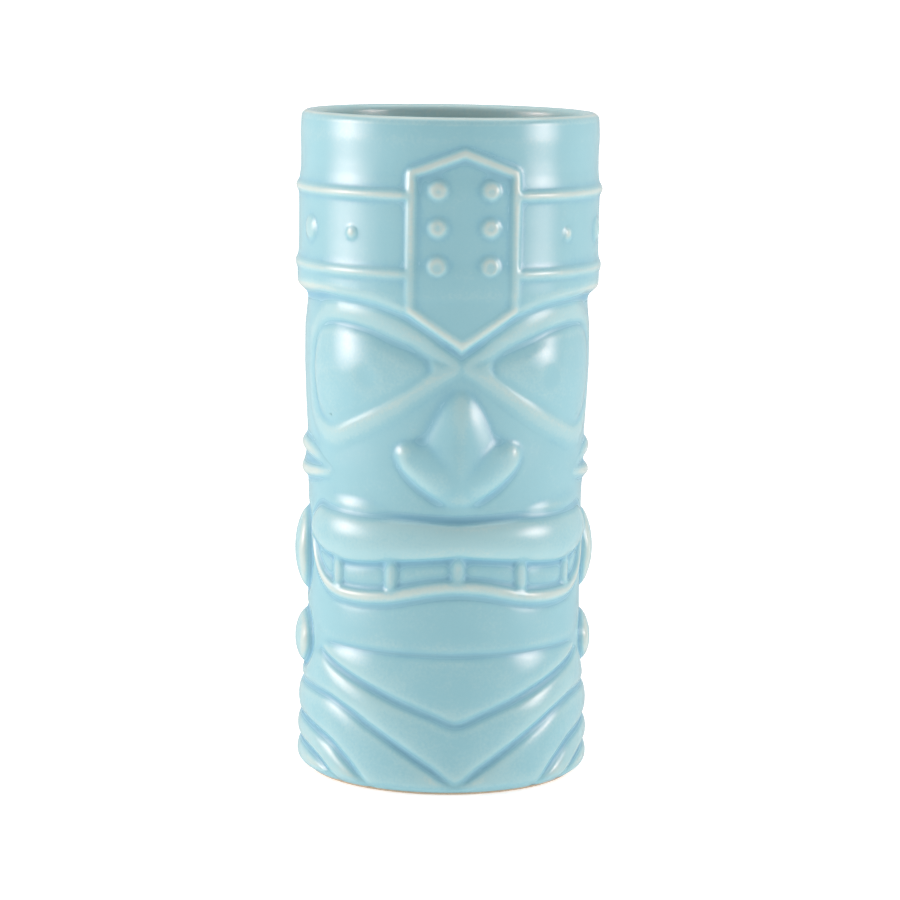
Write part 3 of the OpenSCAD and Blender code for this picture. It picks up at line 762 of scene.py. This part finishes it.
def even_rows(rows, count, closed=False):
    """The same line with evenly spaced rows."""
    rows = np.concatenate([rows, rows[:1]]) if closed else rows
    steps = np.hypot(np.diff(rows[:, 0]) * mm_per_degree, np.diff(rows[:, 1]))
    run = np.concatenate([[0], np.cumsum(steps)])
    at = np.linspace(0, run[-1], count + 1)
    return np.stack([np.interp(at, run, rows[:, k]) for k in range(rows.shape[1])], -1)


def pad_grid(patch):
    """Angles and heights of a pad's grid: along its length, then from its lower to its upper edge."""
    rows = curve(patch["rows"]) if patch["curved"] else np.array(patch["rows"], float)
    middle = np.stack([rows[:, 0], (rows[:, 1] + rows[:, 2]) / 2, rows[:, 1], rows[:, 2]], -1)
    length = np.hypot(np.diff(middle[:, 0]) * mm_per_degree, np.diff(middle[:, 1])).sum()
    long = even_rows(middle, max(int(length / spacing), 4))
    wide = max(int((rows[:, 2] - rows[:, 1]).max() / spacing), 4)
    t = np.linspace(0, 1, wide + 1)[None, :]
    angle = np.repeat(long[:, :1], wide + 1, axis=1)
    return angle, long[:, 2:3] * (1 - t) + long[:, 3:4] * t


def ridge_grid(patch):
    """The same for a ridge: along its line, then from one side to the other."""
    closed = patch["closed"]
    rows = curve(patch["rows"], closed=closed) if patch["curved"] else np.array(patch["rows"], float)
    length = np.hypot(np.diff(rows[:, 0]) * mm_per_degree, np.diff(rows[:, 1])).sum()
    if patch["curved"] or not closed:
        rows = even_rows(rows, max(int(length / spacing), 4), closed)
    else:
        rows = np.concatenate([even_rows(np.stack([a, b]), max(int(abs(b[1] - a[1]) / spacing), 24))[:-1]
                               for a, b in zip(rows, np.roll(rows, -1, 0))] + [rows[:1]])
    flat = np.stack([rows[:, 0] * mm_per_degree, rows[:, 1]], -1)
    run = np.diff(flat, axis=0)
    run /= np.linalg.norm(run, axis=1)[:, None]
    before = np.concatenate([run[-1:] if closed else run[:1], run])
    after = np.concatenate([run, run[:1] if closed else run[-1:]])
    side = np.stack([-(before + after)[:, 1], (before + after)[:, 0]], -1) / 2
    side /= np.maximum((side**2).sum(1), 0.3)[:, None]
    wide = max(int(2 * rows[:, 2].max() / (0.7 * spacing)), 4)
    bend = (before[:, 0] * after[:, 1] - before[:, 1] * after[:, 0]) / spacing
    off = np.linspace(1, -1, wide + 1)[None, :] * rows[:, 2][:, None]
    room = 0.8 / np.maximum(np.abs(bend), 0.01)[:, None]
    off = np.where(off * bend[:, None] > 0, np.clip(off, -room, room), off)[..., None]
    spot = flat[:, None, :] + off * side[:, None, :]
    return spot[..., 0] / mm_per_degree, spot[..., 1]


def dome_grid(patch):
    """The same for a round stud: a square grid pressed into a disc."""
    angle, z, radius, lift = patch["rows"]
    count = max(int(2 * radius / 0.35), 8)
    x, y = np.meshgrid(np.linspace(-1, 1, count + 1), np.linspace(-1, 1, count + 1), indexing="ij")
    across, up = x * np.sqrt(1 - y**2 / 2) * radius, y * np.sqrt(1 - x**2 / 2) * radius
    return angle + across / mm_per_degree, z + up


print("kinds of grid:", ", ".join(sorted({patch["kind"] for patch in patches})))

# %% [markdown]
# The grid comes from create_grid, and its flat points say which row and column they stand for. They are
# moved to the surface, the faces are extruded, and the old faces become the back. Front and back are
# then a closed shell without any boolean, which would leave thin slivers on a curved wall.

# %% Grids become closed pieces
def mesh_of(bm, name):
    """The finished bmesh as a mesh of that name."""
    mesh = bpy.data.meshes.new(name)
    bm.to_mesh(mesh)
    bm.free()
    return mesh


def stand(name, data):
    """An object of that name in the scene."""
    thing = bpy.data.objects.new(name, data)
    bpy.context.scene.collection.objects.link(thing)
    return thing


def patch_piece(patch):
    """One closed piece of the surface, from a grid that is bent into place and given a back."""
    angle, z = {"pad": pad_grid, "ridge": ridge_grid, "dome": dome_grid}[patch["kind"]](patch)
    along, wide = angle.shape
    bm = bmesh.new()
    bmesh.ops.create_grid(bm, x_segments=along - 1, y_segments=wide - 1, size=1)
    flat = np.array([v.co for v in bm.verts])
    i = np.rint((flat[:, 0] + 1) / 2 * (along - 1)).astype(int)
    j = np.rint((flat[:, 1] + 1) / 2 * (wide - 1)).astype(int)
    a, h = angle[i, j], z[i, j]
    front = place(a, h, patch["layer"], lap[patch["layer"]])
    back = place(a, h, patch["layer"], -patch_depth)
    source = bm.verts.layers.int.new("source")
    for index, v in enumerate(bm.verts):
        v[source] = index
        v.co = front[index]
    if patch["closed"]:
        bmesh.ops.remove_doubles(bm, verts=bm.verts[:], dist=1e-6)
    behind = set(bm.verts)
    bmesh.ops.extrude_face_region(bm, geom=bm.faces[:])
    for v in behind:
        v.co = back[v[source]]
    bmesh.ops.recalc_face_normals(bm, faces=bm.faces[:])
    keep = np.array([v[source] for v in bm.verts])
    is_front = np.array([v not in behind for v in bm.verts])
    mesh = mesh_of(bm, patch["name"])
    mesh.attributes.remove(mesh.attributes["source"])
    shade(mesh, is_front, normals_at(a, h)[keep], sample(glaze_sheet, a, h)[keep])
    return stand(patch["name"], mesh)


made = {patch["name"]: patch_piece(patch) for patch in patches}
print("patches:", len(made), " faces:", sum(len(o.data.polygons) for o in made.values()))

# %% [markdown]
# ## The vessel
#
# The vessel is turned like a pot. Its half section is drawn as a chain of points, from the middle of the
# underside out to the foot, up the outside, over the rim, down the well and in to the middle of the
# floor, and the chain is spun round the axis. The face is spun in finer steps than the back. Then the
# outside is pushed out to the glazed surface.

# %% Half section
foot_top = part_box("foot_ring")[1].z / MM
wall_foot_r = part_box("foot_ring")[1].x / MM
foot_in, underside_z = 29.0, 1.3
rim_r, rim_mid = 1.8, 35.0
rim_z = mug_h - rim_r
rough_r, step_z = 36.5, 0.6
well = curve([(33.2, rim_z), (32.9, 150), (32.3, 125), (31.4, 110), (30.9, 80), (30.5, 45), (30.2, 16)],
             steps=6)
floor_edge_r, floor_r, floor_z = 22.2, 8.0, 7.0


def half_section():
    """Points of the half section, and which of them belong to the outside."""
    chain = [(r, underside_z) for r in (0, 10, 20, foot_in - 0.6)] + [(foot_in, foot_top + 0.05)]
    first = len(chain)
    chain += [(rough_r, z) for z in np.arange(foot_top, rim_z, step_z)]
    last = len(chain)
    chain += [(rim_mid + rim_r * math.cos(f), rim_z + rim_r * math.sin(f))
              for f in np.radians(np.arange(0, 181, 11.25))]
    chain += [tuple(p) for p in well[1:]]
    chain += [(floor_edge_r + floor_r * math.cos(f), floor_z + floor_r * (1 - math.sin(f)))
              for f in np.radians(np.arange(6, 91, 12))]
    return chain + [(r, floor_z) for r in (15, 8, 0)], first, last


section, first_out, last_out = half_section()
print("half section:", len(section), "points,", last_out - first_out, "of them outside")

# %% Spin it
face_turn, face_steps, back_steps = 210, 190, 68
bm = bmesh.new()
tag = bm.verts.layers.int.new("tag")
chain = []
start_turn = Matrix.Rotation(math.radians(-face_turn / 2), 3, "Z")
for index, (r, z) in enumerate(section):
    v = bm.verts.new(start_turn @ Vector((0, -r * MM, z * MM)))
    v[tag] = index
    chain.append(v)
edges = [bm.edges.new(pair) for pair in zip(chain, chain[1:])]
axis = dict(cent=(0, 0, 0), axis=(0, 0, 1), use_merge=False, use_duplicate=False)
swept = bmesh.ops.spin(bm, geom=chain + edges, angle=math.radians(face_turn), steps=face_steps, **axis)
bmesh.ops.spin(bm, geom=swept["geom_last"], angle=math.radians(360 - face_turn), steps=back_steps, **axis)
bmesh.ops.remove_doubles(bm, verts=bm.verts[:], dist=1e-6)
bmesh.ops.recalc_face_normals(bm, faces=bm.faces[:])
index_of = np.array([v[tag] for v in bm.verts])
vessel_mesh = mesh_of(bm, "glazed_vessel")
vessel_mesh.attributes.remove(vessel_mesh.attributes["tag"])
print("spun in", face_steps + back_steps, "steps:", len(vessel_mesh.vertices), "points")

# %% [markdown]
# The vessel's outside takes its radius, its normals and its glaze from the same sheets as the pieces,
# so it looks the same between them. The rim's glaze runs thin just outside its top. Inside the well the
# colour is even and painted paler than the flats outside, as painted light in the shaded well.

# %% Push the outside to the glazed surface
rim_crest, rim_spread, rim_points = 5.5, 2.0, 9
# The well's glaze value is painted light: it makes the shaded inside of the well paler.
rim_thin, rim_least, well_painted_light = 0.9, 0.15, 0.55
points = np.zeros(len(vessel_mesh.vertices) * 3)
vessel_mesh.vertices.foreach_get("co", points)
points = points.reshape(-1, 3)
is_out = (index_of >= first_out) & (index_of < last_out)
turn_of = np.degrees(np.arctan2(points[:, 0], -points[:, 1]))
up_of = points[:, 2] / MM
points[is_out] = place(turn_of[is_out], up_of[is_out], 0)
vessel_mesh.vertices.foreach_set("co", points.ravel())
past_outside = index_of - last_out
rim_glaze = rim_thin * np.exp(-((past_outside - rim_crest) / rim_spread) ** 2) * (past_outside >= 0)
rim_glaze_and_painted_well_light = np.where(past_outside > rim_points, well_painted_light, np.maximum(rim_glaze, rim_least))
glaze_of = np.where(is_out, sample(glaze_sheet, turn_of, up_of), rim_glaze_and_painted_well_light)
shade(vessel_mesh, is_out, normals_at(turn_of, up_of), glaze_of)
vessel = stand("glazed_vessel", vessel_mesh)
print("vessel:", len(vessel_mesh.polygons), "faces")

# %% [markdown]
# ## Foot ring
#
# The foot is wiped clean before firing, or the mug would stick to the kiln shelf. The bare ring could be
# a pipe with bevelled edges, but its section has a different corner on each side, so that section is
# drawn and spun.

# %% Foot ring
bm = bmesh.new()
foot_section = [(foot_in, foot_top), (foot_in, 0.25), (foot_in + 0.25, 0.0), (foot_in + 2, 0.0),
                (32.9, 0.0), (33.25, 0.1), (33.5, 0.35), (wall_foot_r - 0.05, foot_top)]
corner = [bm.verts.new((0, -r * MM, z * MM)) for r, z in foot_section]
loop = [bm.edges.new(pair) for pair in zip(corner, corner[1:] + corner[:1])]
bmesh.ops.spin(bm, geom=corner + loop, cent=(0, 0, 0), axis=(0, 0, 1), angle=2 * math.pi, steps=240,
               use_merge=True)
bmesh.ops.remove_doubles(bm, verts=bm.verts[:], dist=1e-6)
bmesh.ops.recalc_face_normals(bm, faces=bm.faces[:])
foot_mesh = mesh_of(bm, "bare_foot_ring")
foot_mesh.polygons.foreach_set("use_smooth", np.ones(len(foot_mesh.polygons), bool))
foot = stand("bare_foot_ring", foot_mesh)
print("foot ring:", len(foot_mesh.polygons), "faces")

# %% [markdown]
# ## Materials
#
# Real glaze and clay are never one flat colour. Cloudy noise at two scales is built once as a node
# group, with a broad mottle and a fine grain, and both materials use it with sizes of their own.

# %% Mottle, shared by glaze and clay
def new_socket(group, name, way, value=None):
    """A number going into a node group or coming out of it."""
    socket = group.interface.new_socket(name, in_out=way, socket_type="NodeSocketFloat")
    if value is not None:
        socket.default_value = value


def mottle_group():
    """Cloudy noise at two scales, each from 0 to 1."""
    group = bpy.data.node_groups.new("mottle", "ShaderNodeTree")
    new_socket(group, "Cloud size", "INPUT", 110.0)
    new_socket(group, "Grain size", "INPUT", 1400.0)
    new_socket(group, "Mottle", "OUTPUT")
    new_socket(group, "Grain", "OUTPUT")
    nodes, links = group.nodes, group.links
    inside, outside = nodes.new("NodeGroupInput"), nodes.new("NodeGroupOutput")
    where = nodes.new("ShaderNodeTexCoord")
    for size, out, detail in (("Cloud size", "Mottle", 3.0), ("Grain size", "Grain", 2.0)):
        noise = nodes.new("ShaderNodeTexNoise")
        noise.inputs["Detail"].default_value = detail
        links.new(where.outputs["Object"], noise.inputs["Vector"])
        links.new(inside.outputs[size], noise.inputs["Scale"])
        links.new(noise.outputs["Fac"], outside.inputs[out])
    return group


mottle = mottle_group()
print("mottle gives:", ", ".join(s.name for s in mottle.interface.items_tree if s.in_out == "OUTPUT"))

# %% [markdown]
# The glaze is one material for the vessel and every carved piece, because one coat covers them all. Its
# colour follows the glaze attribute: deep blue where it pooled, sky blue on the flats and cream where it
# broke on a crest. The mottle and the grain shift it a little either way. Glaze that pooled in a groove
# is also duller, which keeps sharp reflections out of the grooves.

# %% Glaze
def ramp_of(nodes, stops):
    """A colour ramp through stops of (place, colour), eased between them."""
    ramp = nodes.new("ShaderNodeValToRGB")
    ramp.color_ramp.interpolation = "EASE"
    while len(ramp.color_ramp.elements) < len(stops):
        ramp.color_ramp.elements.new(0.5)
    for element, (at, colour) in zip(ramp.color_ramp.elements, stops):
        element.position = at
        element.color = (*colour, 1)
    return ramp


def scaled(nodes, links, source, factor, plus):
    """Source times factor, plus a number or another node's output."""
    made_sum = nodes.new("ShaderNodeMath")
    made_sum.operation = "MULTIPLY_ADD"
    links.new(source, made_sum.inputs[0])
    made_sum.inputs[1].default_value = factor
    if isinstance(plus, float):
        made_sum.inputs[2].default_value = plus
    else:
        links.new(plus, made_sum.inputs[2])
    return made_sum.outputs[0]


glaze_stops = [(0.10, (0.180, 0.425, 0.556)), (0.34, (0.222, 0.478, 0.580)), (0.56, (0.268, 0.528, 0.596)),
               (0.74, (0.340, 0.578, 0.618)), (1.0, (0.475, 0.622, 0.602))]
thickness_share, middle, mottle_share, grain_share = 0.5, 0.385, 0.18, 0.19


def glaze_material():
    """Sky blue celadon glaze that breaks to cream."""
    material = bpy.data.materials.new("sky_blue_glaze")
    material.use_nodes = True
    nodes, links = material.node_tree.nodes, material.node_tree.links
    shader = nodes["Principled BSDF"]
    shader.inputs["IOR"].default_value = 1.56
    clouds = nodes.new("ShaderNodeGroup")
    clouds.node_tree = mottle
    glaze = nodes.new("ShaderNodeAttribute")
    glaze.attribute_name = "glaze"
    tone = scaled(nodes, links, glaze.outputs["Fac"], thickness_share, middle)
    tone = scaled(nodes, links, clouds.outputs["Mottle"], mottle_share, tone)
    tone = scaled(nodes, links, clouds.outputs["Grain"], grain_share, tone)
    ramp = ramp_of(nodes, glaze_stops)
    links.new(tone, ramp.inputs["Fac"])
    links.new(ramp.outputs["Color"], shader.inputs["Base Color"])
    rough = nodes.new("ShaderNodeMapRange")
    rough.inputs["To Min"].default_value = 0.15
    rough.inputs["To Max"].default_value = 0.23
    links.new(clouds.outputs["Mottle"], rough.inputs["Value"])
    pooled = nodes.new("ShaderNodeMapRange")
    pooled.interpolation_type = "SMOOTHSTEP"
    pooled.inputs["From Min"].default_value = 0.0
    pooled.inputs["From Max"].default_value = -1.1
    pooled.inputs["To Max"].default_value = 0.3
    links.new(glaze.outputs["Fac"], pooled.inputs["Value"])
    links.new(scaled(nodes, links, rough.outputs["Result"], 1.0, pooled.outputs["Result"]),
              shader.inputs["Roughness"])
    bump = nodes.new("ShaderNodeBump")
    bump.inputs["Strength"].default_value = 0.06
    bump.inputs["Distance"].default_value = 0.0002
    links.new(clouds.outputs["Mottle"], bump.inputs["Height"])
    links.new(bump.outputs["Normal"], shader.inputs["Normal"])
    return material


glaze_finish = glaze_material()
print("glaze colours from", glaze_stops[0][1], "to", glaze_stops[-1][1])

# %% [markdown]
# The foot shows what is under the glaze: a buff stoneware, dry to the touch. It needs no attribute, only
# the fine grain for its colour and for a slight grit.

# %% Bare clay
def clay_material():
    """Bare buff stoneware, dry and slightly gritty."""
    material = bpy.data.materials.new("bare_stoneware")
    material.use_nodes = True
    nodes, links = material.node_tree.nodes, material.node_tree.links
    shader = nodes["Principled BSDF"]
    clouds = nodes.new("ShaderNodeGroup")
    clouds.node_tree = mottle
    clouds.inputs["Grain size"].default_value = 2500.0
    ramp = ramp_of(nodes, [(0.3, (0.46, 0.38, 0.27)), (0.7, (0.58, 0.50, 0.38))])
    links.new(clouds.outputs["Grain"], ramp.inputs["Fac"])
    links.new(ramp.outputs["Color"], shader.inputs["Base Color"])
    shader.inputs["Roughness"].default_value = 0.75
    bump = nodes.new("ShaderNodeBump")
    bump.inputs["Strength"].default_value = 0.3
    bump.inputs["Distance"].default_value = 0.0001
    links.new(clouds.outputs["Grain"], bump.inputs["Height"])
    links.new(bump.outputs["Normal"], shader.inputs["Normal"])
    return material


clay_finish = clay_material()
print("finishes:", glaze_finish.name, "and", clay_finish.name)

# %% [markdown]
# ## Join the looks to the frame
#
# Every finished piece stands for a node of the imported model, hides that node and rides on the only
# body, the root, since nothing on a mug moves. Several pieces may stand for one node, as the six
# studs of the plaque do.

# %% Join the looks to the frame
fates = {"glazed_vessel": ("vessel", "glazed_body"), "bare_foot_ring": ("foot_ring", "bare_clay"),
         **{patch["name"]: (patch["node"], patch["slot"]) for patch in patches}}
for piece in [vessel, foot, *made.values()]:
    node, slot = fates[piece.name]
    piece.data.materials.append(clay_finish if piece is foot else glaze_finish)
    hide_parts(node)
    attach(piece, "root")
print("every node is stood for:", {node for node, slot in fates.values()} == set(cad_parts))

# %% [markdown]
# ## Stage, light and camera
#
# The mug stands on a white sweep, a sheet of paper that curves up behind it, so no horizon shows. The
# paper glows slightly to stay white, and it's hidden from reflections, or it would fill the glaze with
# grey bands.

# %% White sweep
bm = bmesh.new()
sweep = [(-1.6, 0.0), (0.9, 0.0), (1.15, 0.06), (1.32, 0.22), (1.4, 0.5), (1.4, 2.2)]
line = [bm.verts.new((-3.0, y, z)) for y, z in sweep]
rail = [bm.edges.new(pair) for pair in zip(line, line[1:])]
pulled = bmesh.ops.extrude_edge_only(bm, edges=rail)["geom"]
bmesh.ops.translate(bm, vec=(6.0, 0, 0), verts=[g for g in pulled if isinstance(g, bmesh.types.BMVert)])
bmesh.ops.recalc_face_normals(bm, faces=bm.faces[:])
floor_mesh = mesh_of(bm, "sweep")
floor_mesh.polygons.foreach_set("use_smooth", np.ones(len(floor_mesh.polygons), bool))
floor = stand("sweep", floor_mesh)
paper = bpy.data.materials.new("white_paper")
paper.use_nodes = True
paper_shader = paper.node_tree.nodes["Principled BSDF"]
paper_shader.inputs["Base Color"].default_value = (0.9, 0.9, 0.9, 1)
paper_shader.inputs["Roughness"].default_value = 0.9
paper_shader.inputs["Emission Color"].default_value = (1, 1, 1, 1)
paper_shader.inputs["Emission Strength"].default_value = 0.5
floor_mesh.materials.append(paper)
floor.visible_glossy = False
print("sweep:", len(floor_mesh.polygons), "faces")

# %% [markdown]
# Two tall panels stand at the mug's left and right and leave the upright highlights on it. An area
# light has one even brightness, which prints a hard rectangle on glaze. A panel that glows through a
# gradient is brightest round one spot and fades to its edges, and so do the highlights. A wide lamp
# above adds a little light from the top.

# %% Lights
def around(turn, reach, z):
    """A point at a distance from the mug's axis, turned from the middle of the face."""
    return (reach * math.sin(math.radians(turn)), -reach * math.cos(math.radians(turn)), z)


def softbox(name, place_at, aim, half_wide, half_tall, hot_at, hot, dim):
    """A lit panel that is brightest round one spot and fades to its edges, like a lamp behind cloth."""
    bm = bmesh.new()
    bmesh.ops.create_grid(bm, x_segments=1, y_segments=1, size=1)
    for v in bm.verts:
        v.co = (v.co.x * half_wide, v.co.y * half_tall, 0)
    mesh = mesh_of(bm, name)
    cloth = bpy.data.materials.new(name)
    cloth.use_nodes = True
    nodes, links = cloth.node_tree.nodes, cloth.node_tree.links
    nodes.clear()
    spot, fit = nodes.new("ShaderNodeTexCoord"), nodes.new("ShaderNodeMapping")
    fit.inputs["Location"].default_value = (-hot_at[0] / half_wide, -hot_at[1] / half_tall, 0)
    fit.inputs["Scale"].default_value = (1 / half_wide, 1 / half_tall, 1)
    ball, curve_up = nodes.new("ShaderNodeTexGradient"), nodes.new("ShaderNodeMath")
    ball.gradient_type = "SPHERICAL"
    curve_up.operation = "POWER"
    curve_up.inputs[1].default_value = 1.5
    level = nodes.new("ShaderNodeMath")
    level.operation = "MULTIPLY_ADD"
    level.inputs[1].default_value = hot
    level.inputs[2].default_value = dim
    glow, out = nodes.new("ShaderNodeEmission"), nodes.new("ShaderNodeOutputMaterial")
    glow.inputs["Color"].default_value = (1.0, 0.79, 0.75, 1)
    links.new(spot.outputs["Object"], fit.inputs["Vector"])
    links.new(fit.outputs["Vector"], ball.inputs["Vector"])
    links.new(ball.outputs["Fac"], curve_up.inputs[0])
    links.new(curve_up.outputs[0], level.inputs[0])
    links.new(level.outputs[0], glow.inputs["Strength"])
    links.new(glow.outputs[0], out.inputs["Surface"])
    mesh.materials.append(cloth)
    panel_object = stand(name, mesh)
    panel_object.location = place_at
    panel_object.rotation_euler = (Vector(aim) - Vector(place_at)).to_track_quat("Z", "Y").to_euler()
    panel_object.visible_camera = False


softbox("left_softbox", around(-86, 0.9, 0.34), (0, 0, 0.34), 0.42, 0.37, (0.04, -0.09), 13.0, 1.3)
softbox("right_softbox", around(68, 0.9, 0.35), (0, 0, 0.35), 0.36, 0.37, (0.0, -0.08), 13.5, 0.3)
top = bpy.data.lights.new("overhead", "AREA")
top.shape = "RECTANGLE"
top.size, top.size_y = 1.8, 1.2
top.energy = 10
lamp = stand("overhead", top)
lamp.location = (0, 0.15, 1.4)
print("lights: two panels and a lamp of", top.energy, "W")

# %% [markdown]
# The world fills the shadows with white. A picture of a studio would do the same, but a plain ramp from
# front to back is enough. It's dimmer on the camera's side, because the upright parts of the glaze
# mirror that side and would go pale.

# %% World
world = bpy.data.worlds.new("studio")
bpy.context.scene.world = world
world.use_nodes = True
sky, sky_links = world.node_tree.nodes, world.node_tree.links
look = sky.new("ShaderNodeTexCoord")
split = sky.new("ShaderNodeSeparateXYZ")
sky_links.new(look.outputs["Generated"], split.inputs[0])
towards_back = sky.new("ShaderNodeMapRange")
towards_back.inputs["From Min"].default_value = -1.0
towards_back.inputs["From Max"].default_value = 0.2
towards_back.inputs["To Min"].default_value = 0.185
towards_back.inputs["To Max"].default_value = 0.62
sky_links.new(split.outputs["Y"], towards_back.inputs["Value"])
sky_links.new(towards_back.outputs["Result"], sky["Background"].inputs["Strength"])
sky["Background"].inputs["Color"].default_value = (1, 1, 1, 1)
bpy.context.scene.view_settings.view_transform = "Standard"
print("world:", len(sky), "nodes")

# %% [markdown]
# The camera has a long lens, which keeps the mug's sides nearly upright, and looks slightly down on the
# rim, from a little to the left of the face's middle.

# %% Camera
camera_data = bpy.data.cameras.new("camera")
camera_data.sensor_width = 36.0
camera_data.lens = 131.1
camera_data.shift_x = 0.005
camera_data.clip_start, camera_data.clip_end = 0.05, 20
camera = stand("camera", camera_data)
distance, eye_z = 0.8123, 0.2037
aside, down, roll = math.radians(-5.7), math.radians(8.644), math.radians(0.863)
camera.location = (distance * math.sin(aside), -distance * math.cos(aside), eye_z)
camera.rotation_euler = (Matrix.Rotation(aside, 3, "Z") @ Matrix.Rotation(math.pi / 2 - down, 3, "X")
                         @ Matrix.Rotation(roll, 3, "Z")).to_euler()
bpy.context.scene.camera = camera
print("camera:", round(camera_data.lens, 1), "mm lens,", distance, "m from the mug's axis")

# %% [markdown]
# ## The last step
#
# The view layer is updated once more, so every finished piece stands where it was put.

# %% The last line
bpy.context.view_layer.update()
